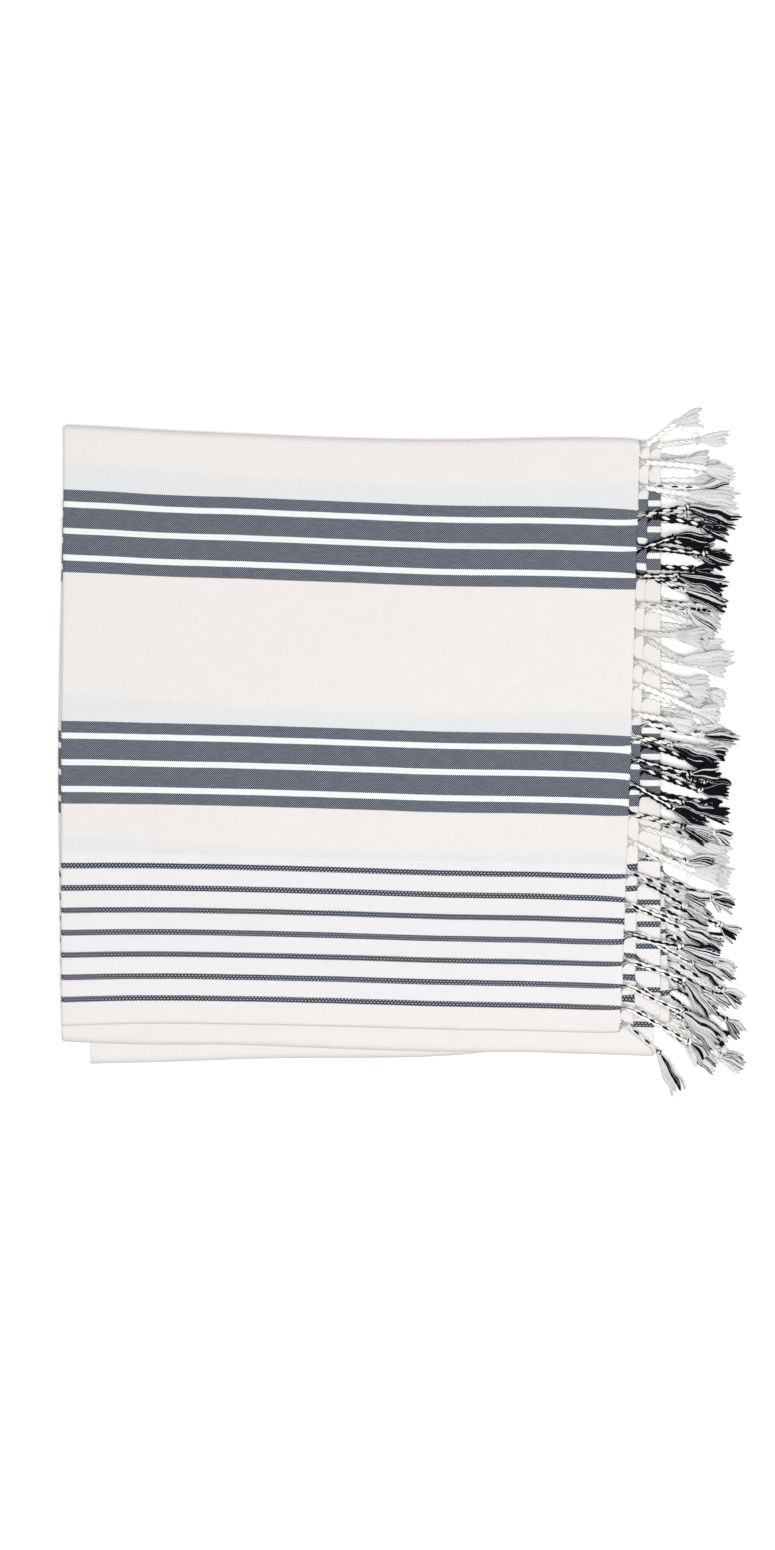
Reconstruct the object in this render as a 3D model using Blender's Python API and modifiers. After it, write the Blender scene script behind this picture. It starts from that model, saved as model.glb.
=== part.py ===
# A hammam towel: one length of striped cotton with knotted fringes at both ends, folded and lying flat.
# It is folded in four along its length like a book, and then in half across its width, which gives eight
# layers. The fold across the width is at the top (+Y) and the selvedges are at the bottom.
#
# All sizes are in millimetres. X runs to the right from the outer left fold and Y up from the lower left
# corner. The empty "hammam_towel" carries the whole towel to its place, centred on the origin.

import math
from collections import namedtuple

import bmesh
import bpy
import numpy as np

MM = 0.001

# The woven cloth
CLOTH_WIDTH = 900.0  # from selvedge to selvedge, folded in half
THICKNESS = 1.0
LAYER_GAP = 0.4  # air between two layers
PITCH = THICKNESS + LAYER_GAP
LEVELS = 4  # layers in each half, level 1 innermost
MIDDLE_HEIGHT = THICKNESS / 2 + (LEVELS - 0.5) * PITCH  # between the two halves
LOFT = 0.09  # how much higher the loosest places of the stack stand
SINK_START = 3.0  # how far past the selvedge of a layer those above it begin to come down
SINK_REACH = 8.0  # and in what distance they have come down by one pitch
INNER_START = 22.0  # X from which the inner levels 2 and 3 lie beneath the others

# The narrow strip in which the fringe's roots are gathered
STRIP_WIDTH = 3.0
CLEARANCE = 0.3  # between pieces
ROOT_WIDTH = 3.0

# Mesh steps
FLAT_STEPS = 9  # along each layer
LONG_TURN_STEPS = 8
SHORT_TURN_STEPS = 5
SIDE_STEPS = 9  # from the top fold to a selvedge
SELVEDGE_SIDES = (0.93, 0.955, 0.97, 0.985)  # further steps near a selvedge
STRIP_STEP = 4.5  # the strip's last step before a selvedge
TOP_FOLD_STEPS = 8

# Where the folds and ends lie: their X on the under half at its selvedge and half way, at the top fold,
# and on the upper half, half way and at its selvedge
SIDES = (-1.0, -0.5, 0.0, 0.5, 1.0)
Line = namedtuple("Line", "under_selvedge under_half top_fold upper_half upper_selvedge")
LINES = {
    "end_a": Line(443.4, 433.1, 427.1, 420.5, 412.4),
    "left_outer": Line(-1.1, -3.0, 1.5, 0.0, -0.4),
    "right": Line(438.2, 442.7, 443.0, 442.7, 442.7),
    "left_inner": Line(20.0, 20.0, 20.7, 20.7, 20.7),
    "end_b": Line(450.1, 440.4, 434.5, 427.9, 422.7),
}

# How the cloth lies there: how far its middle has slipped to the under half, and how much each half is
# drawn out or in
Lie = namedtuple("Lie", "slip upper_stretch under_stretch")
LIES = {
    "end_a": Lie(-2.2, 0.981, 0.981),
    "left_outer": Lie(3.9, 1.003, 0.997),
    "right": Lie(17.6, 0.985, 0.971),
    "left_inner": Lie(22.0, 1.000, 0.997),
    "end_b": Lie(7.2, 0.981, 0.980),
}

# The outermost layer's edge along the top fold, and its lie on the upper half
Station = namedtuple("Station", "x edge slip upper_stretch")
TOP_LAYER = (
    Station(1.5, 456.7, 3.9, 1.003),
    Station(36.0, 455.0, 3.5, 0.996),
    Station(65.0, 453.2, 3.2, 0.990),
    Station(139.0, 449.8, 3.8, 0.985),
    Station(213.0, 446.8, 3.6, 0.981),
    Station(287.0, 445.8, 1.7, 0.979),
    Station(361.0, 447.1, -0.2, 0.981),
    Station(427.0, 447.1, -2.2, 0.981),
)

# Between which lines each level runs, and where a level is drawn in or out otherwise than LIES says
LEVEL_LINES = {
    4: ("end_a", "left_outer"),
    1: ("left_outer", "right"),
    2: ("right", "left_inner"),
    3: ("left_inner", "end_b"),
}
Draw = namedtuple("Draw", "x stretch")
UPPER_DRAW = {
    1: (
        Draw(1.5, 1.003),
        Draw(45.0, 0.985),
        Draw(60.0, 0.977),
        Draw(200.0, 0.9755),
        Draw(300.0, 0.978),
        Draw(440.0, 0.985),
    ),
}
UNDER_DRAW = {
    1: (
        Draw(1.5, 0.997),
        Draw(21.0, 0.996),
        Draw(129.0, 0.980),
        Draw(296.0, 0.971),
        Draw(440.0, 0.971),
    ),
    2: (
        Draw(20.7, 0.997),
        Draw(176.0, 0.975),
        Draw(296.0, 0.968),
        Draw(331.0, 0.9635),
        Draw(374.0, 0.970),
        Draw(440.0, 0.971),
    ),
    3: (
        Draw(20.7, 0.997),
        Draw(176.0, 0.984),
        Draw(331.0, 0.981),
        Draw(434.5, 0.980),
    ),
}

# The fringe's strands: the Y of the root, the twisted cord's length and its dip below the X direction in
# degrees, and the same of the tail beyond the knot
Strand = namedtuple("Strand", "root_y cord dip tail tail_dip")
UPPER_STRANDS_A = (
    Strand(440, 32, -37, 22, -12),
    Strand(428, 46, 5, 26, 10),
    Strand(410, 34, 10, 43, 11),
    Strand(389, 36, -11, 43, 14),
    Strand(365, 28, -19, 30, 13),
    Strand(344, 30, -1, 40, 16),
    Strand(323, 38, 7, 30, 30),
    Strand(302, 27, 3, 27, 11),
    Strand(281, 42, 28, 21, 18),
    Strand(264, 49, 24, 21, 4),
    Strand(242, 26, 10, 23, 27),
    Strand(225, 29, 10, 39, 13),
    Strand(209, 44, 15, 25, 0),
    Strand(190, 34, 32, 33, 23),
    Strand(168, 40, 13, 24, 20),
    Strand(148, 51, 26, 25, 14),
    Strand(125, 43, 21, 24, 20),
    Strand(102, 45, 25, 25, 26),
    Strand(79, 41, 13, 33, 20),
    Strand(60, 46, 19, 37, 47),
    Strand(42, 46, 26, 38, 35),
    Strand(26, 55, 29, 21, 56),
    Strand(13, 35, 40, 36, 60),
)
UPPER_STRANDS_B = (
    Strand(440, 36, -9, 25, -5),
    Strand(427, 26, -7, 18, 2),
    Strand(411, 38, 2, 25, -7),
    Strand(388, 39, 9, 24, 14),
    Strand(365, 42, 6, 25, 15),
    Strand(344, 28, 23, 37, 23),
    Strand(320, 35, 17, 21, 27),
    Strand(297, 30, 32, 43, 0),
    Strand(276, 30, 19, 22, 4),
    Strand(256, 23, 15, 27, 3),
    Strand(236, 44, 13, 31, 10),
    Strand(219, 32, 16, 29, 12),
    Strand(201, 46, 20, 25, 5),
    Strand(184, 31, 14, 26, 31),
    Strand(158, 35, 17, 40, 17),
    Strand(138, 34, 9, 27, 9),
    Strand(118, 38, 29, 25, 30),
    Strand(99, 32, 18, 25, 21),
    Strand(80, 46, 31, 29, 36),
    Strand(60, 45, 31, 27, 34),
    Strand(41, 44, 36, 32, 43),
    Strand(24, 51, 37, 25, 40),
)
# The under rows are even: a strand every 21 mm, longer and more slanted near the selvedge
UNDER_PITCH = 21.0
UNDER_FIRST_A = 436.0
UNDER_FIRST_B = 427.0
UNDER_COUNT = 21
Trend = namedtuple("Trend", "root_y cord dip")
UNDER_TREND = (
    Trend(0.0, 50.0, 37.0),
    Trend(60.0, 44.0, 33.0),
    Trend(150.0, 35.0, 20.0),
    Trend(440.0, 34.0, 4.0),
)
UNDER_TAIL = 20.0
UNDER_SWAY = 7.0  # degrees that neighbours lean apart
SWAY_LENGTH = 0.3  # millimetres of length for each degree of it

# A strand's sections: its place as a share of the cord and of the tail plus a distance, and its size
Section = namedtuple("Section", "cord_share tail_share further width height")
SECTIONS = (
    Section(0.0, 0.0, 4.0, 3.4, 1.6),
    Section(0.0, 0.0, 9.0, 4.2, 3.0),
    Section(0.5, 0.0, 1.0, 4.2, 3.2),
    Section(0.8, 0.0, 0.0, 4.2, 3.2),
    Section(1.0, 0.0, -3.6, 4.4, 3.4),
    Section(1.0, 0.0, -1.4, 6.6, 4.4),
    Section(1.0, 0.0, 2.2, 6.4, 4.2),
    Section(1.0, 0.0, 4.6, 5.2, 3.0),
    Section(1.0, 0.5, 1.0, 8.6, 2.4),
    Section(1.0, 1.0, 0.0, 12.0, 1.8),
)
FAN_SPREAD = 3.5  # how much wider or narrower a tail's end is than its section
BOW = 9.0  # degrees that a cord turns along its length
SETTLE = 8.0  # distance in which a strand turns from its root to its dip
TAIL_TURN = 6.0  # distance in which it turns to its tail's dip
STEEPEST = 0.6  # rise or fall of a strand for each millimetre along it

# The field in which the strands are laid
CELL = 1.0
FIELD_X = (390.0, 570.0)
FIELD_Y = (-90.0, 490.0)
SIDE_MARGIN = 0.5
FIELD_SINK = 0.85  # share of the sinking that is counted, as the mesh follows it in steps
COURSE_STEPS = 120  # samples along a strand
WIDTH_STEPS = 25  # and across it
OPEN_HEIGHT = 1000.0  # stands for no layer above

COTTON = (0.86, 0.84, 0.81, 1.0)
YARN = (0.80, 0.80, 0.80, 1.0)
ROUGHNESS = 0.9


def line_x(name, side):
    return np.interp(side, SIDES, LINES[name])


def top_layer(x, column):
    return np.interp(x, [row.x for row in TOP_LAYER], [getattr(row, column) for row in TOP_LAYER])


def fold_centre(x):
    """Y of the line about which all layers turn at the top fold."""
    return top_layer(x, "edge") - THICKNESS / 2 - (LEVELS - 0.5) * PITCH


def level_radius(level):
    """Distance of a level from the middle between the two halves."""
    return (level - 0.5) * PITCH


def looseness(x, y):
    """The share of LOFT at a place: soft uneven waves between 0 and 1."""
    wave = np.sin(x / 71.0 + y / 160.0) * np.sin(y / 83.0 - x / 210.0) + 0.5 * np.sin(x / 37.0 - y / 59.0)
    return 0.5 + wave / 3.0


def settled(x, y, z):
    """The height of a layer's middle once the stack has settled: the lowest layer stays flat."""
    return THICKNESS / 2 + (z - THICKNESS / 2) * (1.0 + LOFT * looseness(x, y))


def lie_at(level, start, end, share, x):
    """Slip, upper and under stretch of a level at a place between two lines."""
    slip, upper, under = (first + (last - first) * share for first, last in zip(LIES[start], LIES[end]))
    if level == LEVELS:
        slip = top_layer(x, "slip")
        upper = top_layer(x, "upper_stretch")
    if level in UPPER_DRAW:
        upper = np.interp(x, *zip(*UPPER_DRAW[level]))
    if level in UNDER_DRAW:
        under = np.interp(x, *zip(*UNDER_DRAW[level]))
    return slip, upper, under


def selvedge_y(level, half, x):
    """Y of a level's selvedge on the upper (1) or under (-1) half."""
    start, end = LEVEL_LINES[level]
    first = line_x(start, half)
    last = line_x(end, half)
    slip, upper, under = lie_at(level, start, end, np.clip((x - first) / (last - first), 0.0, 1.0), x)
    flat = CLOTH_WIDTH / 2 - half * slip - math.pi * level_radius(level) / 2
    return fold_centre(x) - (upper if half > 0 else under) * flat


def sunk_layers(x, y, level, half):
    """How many of the layers beneath have ended at a place, each from 0 near its selvedge to 1 beyond it."""
    sunk = 0.0
    inner = np.clip((x - INNER_START) / SINK_REACH, 0.0, 1.0)
    for other in range(1, LEVELS + 1):
        present = inner if other in (2, 3) else 1.0
        for side in (1, -1):
            if side > half:
                continue
            beneath = 1.0 if side < half else min(max(half * (level - other), 0.0), 1.0)
            past = selvedge_y(other, side, x) - y - SINK_START
            share = np.clip(past / SINK_REACH, 0.0, 1.0)
            sunk = sunk + present * beneath * share * share * (3.0 - 2.0 * share)
    return sunk


class Column:
    """One line across the cloth's width, from selvedge to selvedge, at one place along its length."""

    def __init__(self, start, end, share, shift, radius):
        self.start = start
        self.end = end
        self.share = share
        self.shift = shift
        self.radius = radius
        self.level = round(radius / PITCH + 0.5, 3)
        at_fold = float(self.x(0.0))
        self.centre_y = float(fold_centre(at_fold))
        slip, upper_stretch, under_stretch = lie_at(self.level, start, end, share, at_fold)
        turned = math.pi * radius / 2
        self.upper_reach = float(upper_stretch * (CLOTH_WIDTH / 2 - slip - turned))
        self.under_reach = float(under_stretch * (CLOTH_WIDTH / 2 + slip - turned))

    def x(self, side):
        first = line_x(self.start, side)
        last = line_x(self.end, side)
        return first + (last - first) * self.share + self.shift

    def point(self, side, turn):
        """side runs from -1 (under selvedge) to 1 (upper selvedge); turn is the angle round the top fold."""
        reach = self.upper_reach if side > 0 else self.under_reach
        x = float(self.x(side))
        y = self.centre_y - abs(side) * reach + self.radius * math.cos(turn)
        z = MIDDLE_HEIGHT + self.radius * math.sin(turn)
        if side != 0.0:
            z -= PITCH * float(sunk_layers(x, y, self.level, math.copysign(1.0, side)))
        return x, y, float(settled(x, y, z))


def layer_columns(level, start, start_shift, end, end_shift, steps):
    return [
        Column(start, end, share, start_shift + (end_shift - start_shift) * share, level_radius(level))
        for share in np.linspace(0.0, 1.0, steps + 1)
    ]


def turn_columns(line, toward, from_level, to_level, steps):
    """A half turn at a fold line, without its first and last column. toward is -1 at the left."""
    first = level_radius(from_level)
    last = level_radius(to_level)
    bend = abs(first - last) / 2
    columns = []
    for angle in np.linspace(0.0, math.pi, steps + 1)[1:-1]:
        shift = toward * (bend * math.sin(angle) - bend - THICKNESS / 2)
        radius = (first + last) / 2 + (first - last) / 2 * math.cos(angle)
        columns.append(Column(line, line, 0.0, shift, radius))
    return columns


def turn_inset(from_level, to_level):
    return abs(level_radius(from_level) - level_radius(to_level)) / 2 + THICKNESS / 2


def cloth_columns():
    """From end A along the outermost level, round the outer left fold, and so on to end B."""
    end_inset = STRIP_WIDTH + CLEARANCE
    outer = turn_inset(4, 1)
    inner = turn_inset(1, 2)
    columns = layer_columns(4, "end_a", -end_inset, "left_outer", outer, FLAT_STEPS)
    columns += turn_columns("left_outer", -1, 4, 1, LONG_TURN_STEPS)
    columns += layer_columns(1, "left_outer", outer, "right", -inner, FLAT_STEPS)
    columns += turn_columns("right", 1, 1, 2, SHORT_TURN_STEPS)
    columns += layer_columns(2, "right", -inner, "left_inner", inner, FLAT_STEPS)
    columns += turn_columns("left_inner", -1, 2, 3, SHORT_TURN_STEPS)
    columns += layer_columns(3, "left_inner", inner, "end_b", -end_inset, FLAT_STEPS)
    return columns


def stations_across(under_sides, upper_sides):
    """Pairs of side and turn, from the under selvedge round the top fold to the upper selvedge."""
    under = [(-side, -math.pi / 2) for side in reversed(under_sides)]
    fold = [(0.0, angle) for angle in np.linspace(-math.pi / 2, math.pi / 2, TOP_FOLD_STEPS + 1)]
    upper = [(side, math.pi / 2) for side in upper_sides]
    return under + fold + upper


def folded_mesh(name, columns, stations):
    """A grid carried to its folded place, one column of it for each column of the cloth."""
    bm = bmesh.new()
    last_column = len(columns) - 1
    last_station = len(stations) - 1
    bmesh.ops.create_grid(bm, x_segments=last_column, y_segments=last_station, size=1.0)
    for vert in bm.verts:
        column = columns[round((vert.co.x + 1.0) / 2.0 * last_column)]
        side, turn = stations[round((vert.co.y + 1.0) / 2.0 * last_station)]
        vert.co = [value * MM for value in column.point(side, turn)]
    bmesh.ops.recalc_face_normals(bm, faces=bm.faces)
    mesh = bpy.data.meshes.new(name)
    bm.to_mesh(mesh)
    bm.free()
    return mesh


def cotton(name, colour):
    material = bpy.data.materials.new(name)
    material.use_nodes = True
    shader = material.node_tree.nodes["Principled BSDF"]
    shader.inputs["Base Color"].default_value = colour
    shader.inputs["Roughness"].default_value = ROUGHNESS
    shader.inputs["Metallic"].default_value = 0.0
    material.diffuse_color = colour
    return material


def new_object(name, mesh, material, collection, parent):
    obj = bpy.data.objects.new(name, mesh)
    obj.data.materials.append(material)
    obj.parent = parent
    collection.objects.link(obj)
    return obj


def thicken(obj):
    solidify = obj.modifiers.new("thickness", "SOLIDIFY")
    solidify.thickness = THICKNESS * MM
    solidify.offset = 0.0


def make_cloth(collection, parent):
    sides = sorted(list(np.linspace(0.0, 1.0, SIDE_STEPS + 1)[1:]) + list(SELVEDGE_SIDES))
    mesh = folded_mesh("cloth", cloth_columns(), stations_across(sides, sides))
    cloth = new_object("cloth", mesh, cotton("cloth_cotton", COTTON), collection, parent)
    thicken(cloth)
    return cloth


def under_strands(first_y):
    """The even rows of the under half, worked out from UNDER_TREND."""
    rows = []
    places = [row.root_y for row in UNDER_TREND]
    for number in range(UNDER_COUNT):
        root_y = first_y - UNDER_PITCH * number
        sway = UNDER_SWAY * math.sin(2.3 * number + first_y)
        cord = float(np.interp(root_y, places, [row.cord for row in UNDER_TREND]))
        dip = float(np.interp(root_y, places, [row.dip for row in UNDER_TREND]))
        longer = SWAY_LENGTH * sway
        rows.append(Strand(root_y, cord - longer, dip + sway, UNDER_TAIL + longer, dip - sway))
    return rows


class Course:
    """A strand seen from above: where its sections lie, and how wide and high they are."""

    def __init__(self, strand, number, root_x):
        length = strand.cord + strand.tail
        self.fine = np.linspace(0.0, length, COURSE_STEPS)
        bow = BOW * math.sin(2.4 * number)
        along_cord = np.clip(self.fine / strand.cord, 0.0, 1.0)
        along_tail = np.clip((self.fine - strand.cord) / TAIL_TURN, 0.0, 1.0)
        cord_angle = (strand.dip + bow * (along_cord - 0.5)) * np.clip(self.fine / SETTLE, 0.0, 1.0)
        angle = np.radians(cord_angle + (strand.tail_dip - strand.dip) * along_tail)
        step = np.diff(self.fine, prepend=0.0)
        self.fine_x = root_x + np.cumsum(step * np.cos(angle))
        self.fine_y = strand.root_y - np.cumsum(step * np.sin(angle))
        self.fine_angle = angle
        self.at = np.array(
            [row.cord_share * strand.cord + row.tail_share * strand.tail + row.further for row in SECTIONS]
        )
        self.width = np.array([row.width for row in SECTIONS])
        self.height = np.array([row.height for row in SECTIONS])
        self.width[-1] += FAN_SPREAD * math.sin(1.7 * number + strand.cord)
        self.fine_width = np.interp(self.fine, self.at, self.width)
        self.bottom = np.zeros(len(SECTIONS))

    def section(self, index):
        """The middle of a section, its side direction, half width, bottom and top."""
        x = np.interp(self.at[index], self.fine, self.fine_x)
        y = np.interp(self.at[index], self.fine, self.fine_y)
        angle = np.interp(self.at[index], self.fine, self.fine_angle)
        side = (math.sin(angle), math.cos(angle))
        return x, y, side, self.width[index] / 2, self.bottom[index], self.bottom[index] + self.height[index]

    def near(self, values, worst):
        """For each section, the worst of the values between its two neighbours."""
        before = np.concatenate(([0.0], self.at[:-1]))
        after = np.concatenate((self.at[1:], self.at[-1:]))
        return np.array(
            [worst(values[(self.fine >= low) & (self.fine <= high)]) for low, high in zip(before, after)]
        )


class Field:
    """The heights on which the strands come to lie, as a grid of cells seen from above."""

    def __init__(self):
        x = np.arange(FIELD_X[0], FIELD_X[1], CELL)
        y = np.arange(FIELD_Y[0], FIELD_Y[1], CELL)
        self.x, self.y = np.meshgrid(x, y, indexing="ij")
        self.top = np.zeros(self.x.shape)

    def cells(self, course):
        half = course.fine_width / 2 + SIDE_MARGIN
        across = np.linspace(-1.0, 1.0, WIDTH_STEPS)[None, :] * half[:, None]
        x = course.fine_x[:, None] + across * np.sin(course.fine_angle)[:, None]
        y = course.fine_y[:, None] + across * np.cos(course.fine_angle)[:, None]
        column = np.clip(((x - FIELD_X[0]) / CELL + 0.5).astype(int), 0, self.x.shape[0] - 1)
        row = np.clip(((y - FIELD_Y[0]) / CELL + 0.5).astype(int), 0, self.x.shape[1] - 1)
        return column, row

    def lay_cloth(self):
        """The layers that the upper half's strands lie on, as far as their ends, folds and selvedges."""
        away = np.clip((fold_centre(self.x) - self.y) / (CLOTH_WIDTH / 2), 0.0, 1.0)
        for line, half, level in (("end_b", -1, 3), ("right", -1, 1), ("right", 1, 2), ("end_b", 1, 3)):
            covered = self.x < line_x(line, half * away) + CELL
            covered &= self.y > selvedge_y(level, half, self.x) - CELL
            height = MIDDLE_HEIGHT + half * level_radius(level)
            height = height - FIELD_SINK * PITCH * sunk_layers(self.x, self.y, level, half)
            top = settled(self.x, self.y, height) + THICKNESS / 2
            self.top = np.where(covered, np.maximum(self.top, top), self.top)

    def lay(self, course, root_bottom, ceiling=None):
        """Drops a strand on what lies there, with limited slopes, and adds it to the field."""
        column, row = self.cells(course)
        support = course.near(self.top[column, row].max(axis=1), np.max)
        bottom = np.where(support > 0.0, support + CLEARANCE, 0.0)
        if ceiling is not None:
            room = course.near(ceiling, np.min) - CLEARANCE - bottom
            course.height = np.minimum(course.height, room)
        else:
            bottom = np.maximum(bottom, root_bottom - STEEPEST * course.at)
        for index in range(1, len(bottom)):
            fall = STEEPEST * (course.at[index] - course.at[index - 1])
            bottom[index] = max(bottom[index], bottom[index - 1] - fall)
        for index in range(len(bottom) - 2, 0, -1):
            rise = STEEPEST * (course.at[index + 1] - course.at[index])
            bottom[index] = max(bottom[index], bottom[index + 1] - rise)
        course.bottom = bottom
        top = np.interp(course.fine, course.at, bottom + course.height)
        np.maximum.at(self.top, (column, row), np.repeat(top[:, None], column.shape[1], axis=1))


def strip_columns(line, level):
    return layer_columns(level, line, -STRIP_WIDTH, line, 0.0, 1)


def root_sides(strands, centre_y, reach):
    """Where the strip is divided so that each root has a face of its own."""
    sides = []
    for strand in strands:
        middle = (centre_y - strand.root_y) / reach
        half = ROOT_WIDTH / 2 / reach
        sides += [middle - half, middle + half]
    step = 1.0 - STRIP_STEP / reach
    if sides[-1] < step - half:
        sides.append(step)
    return sides + [1.0]


def strip_mesh(name, columns, upper, under, collection):
    """The strip as a closed mesh: it follows its layer all round the top fold."""
    edge = columns[-1]
    stations = stations_across(
        root_sides(under, edge.centre_y, edge.under_reach), root_sides(upper, edge.centre_y, edge.upper_reach)
    )
    guide = bpy.data.objects.new(name + "_strip", folded_mesh(name, columns, stations))
    collection.objects.link(guide)
    thicken(guide)
    mesh = bpy.data.meshes.new_from_object(guide.evaluated_get(bpy.context.evaluated_depsgraph_get()))
    bpy.data.objects.remove(guide)
    return mesh


def root_face(faces, x, y, z):
    """The face of the strip's outer edge that a strand grows from."""
    def distance(face):
        middle = face.calc_center_median() / MM
        return abs(middle.x - x) + abs(middle.y - y) + abs(middle.z - z)
    return min(faces, key=distance)


def grow_strand(bm, face, course):
    """Extrudes the root face along the strand, one section after the other."""
    middle = face.calc_center_median()
    corners = {}
    for vert in face.verts:
        corners[vert] = (math.copysign(1.0, vert.co.y - middle.y), vert.co.z > middle.z)
    for index in range(len(course.at)):
        x, y, side, half, bottom, top = course.section(index)
        old = list(face.verts)
        face = bmesh.ops.extrude_discrete_faces(bm, faces=[face])["faces"][0]
        grown = {}
        for vert in face.verts:
            nearest = min(old, key=lambda other: (other.co - vert.co).length_squared)
            grown[vert] = corners[nearest]
        for vert, (across, above) in grown.items():
            vert.co = (
                (x + across * half * side[0]) * MM,
                (y + across * half * side[1]) * MM,
                (top if above else bottom) * MM,
            )
        corners = grown


def make_fringe(name, line, level, rows, collection, parent, material):
    """rows holds the laid courses of the upper and the under half."""
    columns = strip_columns(line, level)
    edge = columns[-1]
    mesh = strip_mesh(name, columns, rows["upper"][0], rows["under"][0], collection)
    bm = bmesh.new()
    bm.from_mesh(mesh)
    bm.normal_update()
    outer = [face for face in bm.faces if face.normal.x > 0.9]
    chosen = []
    for half, turn in (("upper", math.pi / 2), ("under", -math.pi / 2)):
        reach = edge.upper_reach if half == "upper" else edge.under_reach
        for strand, course in zip(*rows[half]):
            side = (edge.centre_y - strand.root_y) / reach * math.copysign(1.0, turn)
            chosen.append((root_face(outer, *edge.point(side, turn)), course))
    for face, course in chosen:
        grow_strand(bm, face, course)
    bm.to_mesh(mesh)
    bm.free()
    return new_object(name, mesh, material, collection, parent)


def under_ceiling(course, levels_above):
    """The underside of the layers that still cover a strand of the under half as it comes out."""
    side = -np.clip((fold_centre(course.fine_x) - course.fine_y) / (CLOTH_WIDTH / 2), 0.0, 1.0)
    ceiling = np.full(course.fine_x.shape, OPEN_HEIGHT)
    for line, level in levels_above:
        covered = course.fine_x < line_x(line, side) + CELL
        underside = MIDDLE_HEIGHT - level_radius(level) - THICKNESS / 2
        underside = underside - PITCH * sunk_layers(course.fine_x, course.fine_y, level, -1)
        ceiling = np.where(covered, np.minimum(ceiling, underside), ceiling)
    return ceiling


def lay_fringes():
    """Lays the four rows of strands one on the other, from the floor up."""
    field = Field()
    laid = {}
    for end, level, first_y, covers in (
        ("end_a", 4, UNDER_FIRST_A, (("right", 2), ("end_b", 3))),
        ("end_b", 3, UNDER_FIRST_B, (("right", 2),)),
    ):
        strands = under_strands(first_y)
        edge = strip_columns(end, level)[-1]
        courses = []
        for number, strand in enumerate(strands):
            side = (strand.root_y - edge.centre_y) / edge.under_reach
            course = Course(strand, number, float(edge.x(side)))
            field.lay(course, 0.0, under_ceiling(course, covers))
            courses.append(course)
        laid[end, "under"] = (strands, courses)
    field.lay_cloth()
    for end, level, strands in (("end_b", 3, UPPER_STRANDS_B), ("end_a", 4, UPPER_STRANDS_A)):
        edge = strip_columns(end, level)[-1]
        courses = []
        for number, strand in enumerate(strands):
            side = (edge.centre_y - strand.root_y) / edge.upper_reach
            x, y, z = edge.point(side, math.pi / 2)
            course = Course(strand, number, x)
            field.lay(course, z - THICKNESS / 2)
            courses.append(course)
        laid[end, "upper"] = (strands, courses)
    return laid


def centre_on_origin(parent, objects):
    """Moves the towel so that its box is centred on the origin, with the floor at Z = 0."""
    depsgraph = bpy.context.evaluated_depsgraph_get()
    points = []
    for obj in objects:
        mesh = obj.evaluated_get(depsgraph).data
        points.append(np.array([vert.co for vert in mesh.vertices]))
    points = np.concatenate(points)
    middle = (points.min(axis=0) + points.max(axis=0)) / 2
    parent.location = (-middle[0], -middle[1], 0.0)


def main():
    for obj in list(bpy.data.objects):
        bpy.data.objects.remove(obj, do_unlink=True)
    collection = bpy.data.collections.new("hammam_towel")
    bpy.context.scene.collection.children.link(collection)
    parent = bpy.data.objects.new("hammam_towel", None)
    collection.objects.link(parent)

    objects = [make_cloth(collection, parent)]
    laid = lay_fringes()
    yarn = cotton("fringe_yarn", YARN)
    for name, line, level in (("fringe_a", "end_a", 4), ("fringe_b", "end_b", 3)):
        rows = {half: laid[line, half] for half in ("upper", "under")}
        objects.append(make_fringe(name, line, level, rows, collection, parent, yarn))
    centre_on_origin(parent, objects)


main()
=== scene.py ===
# A folded hammam towel with knotted fringes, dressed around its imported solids.
# Lengths are millimetres in the towel's own frame (X right from the outer left fold, Y up from the lower
# left corner, Z up from the floor) until placed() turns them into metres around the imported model.
import math

import bpy
import numpy as np
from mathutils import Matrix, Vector


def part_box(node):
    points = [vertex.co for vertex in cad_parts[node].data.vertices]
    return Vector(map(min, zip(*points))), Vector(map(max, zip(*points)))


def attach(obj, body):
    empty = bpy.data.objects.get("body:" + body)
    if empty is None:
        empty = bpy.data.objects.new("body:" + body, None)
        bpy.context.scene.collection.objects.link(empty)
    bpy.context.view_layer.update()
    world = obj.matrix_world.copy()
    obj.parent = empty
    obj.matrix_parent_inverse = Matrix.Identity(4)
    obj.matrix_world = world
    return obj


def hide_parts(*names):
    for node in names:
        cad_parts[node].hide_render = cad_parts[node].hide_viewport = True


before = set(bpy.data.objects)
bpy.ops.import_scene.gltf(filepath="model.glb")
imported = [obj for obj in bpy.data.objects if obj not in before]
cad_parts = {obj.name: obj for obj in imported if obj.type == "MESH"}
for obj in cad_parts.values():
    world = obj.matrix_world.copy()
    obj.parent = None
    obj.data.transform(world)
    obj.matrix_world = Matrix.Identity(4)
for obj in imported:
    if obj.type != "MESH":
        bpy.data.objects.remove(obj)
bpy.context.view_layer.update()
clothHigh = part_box("cloth")[1]

mm = 0.001
quarterTurn = math.pi / 2


fold = dict(
    width=900.0,  # from selvedge to selvedge, folded in half at the top
    length=1700.0,
    solidThickness=1.0,
    pitch=1.4,  # from one layer to the next
    levels=4,  # layers in each half, level 1 innermost
    loft=0.09,  # how much higher the loosest places stand
    ease=0.06,  # share of a layer over which its stripes ease away from a fold
    sinkReach=20.0,  # a layer comes down over this distance at the selvedge of one beneath it
    sinkEarly=4.0,  # of which this much lies before the selvedge
    packedY=(60.0, 10.0), packedShare=0.5,  # near the selvedges the layers lie closer together
    innerStart=22.0,  # X from which levels 2 and 3 lie beneath the others
    underEdge=(5.2, 300.0, 12.0),  # how much wider the plain edge is at the under selvedge, and its reach
)
middleHeight = fold["solidThickness"] / 2 + (fold["levels"] - 0.5) * fold["pitch"]

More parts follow.
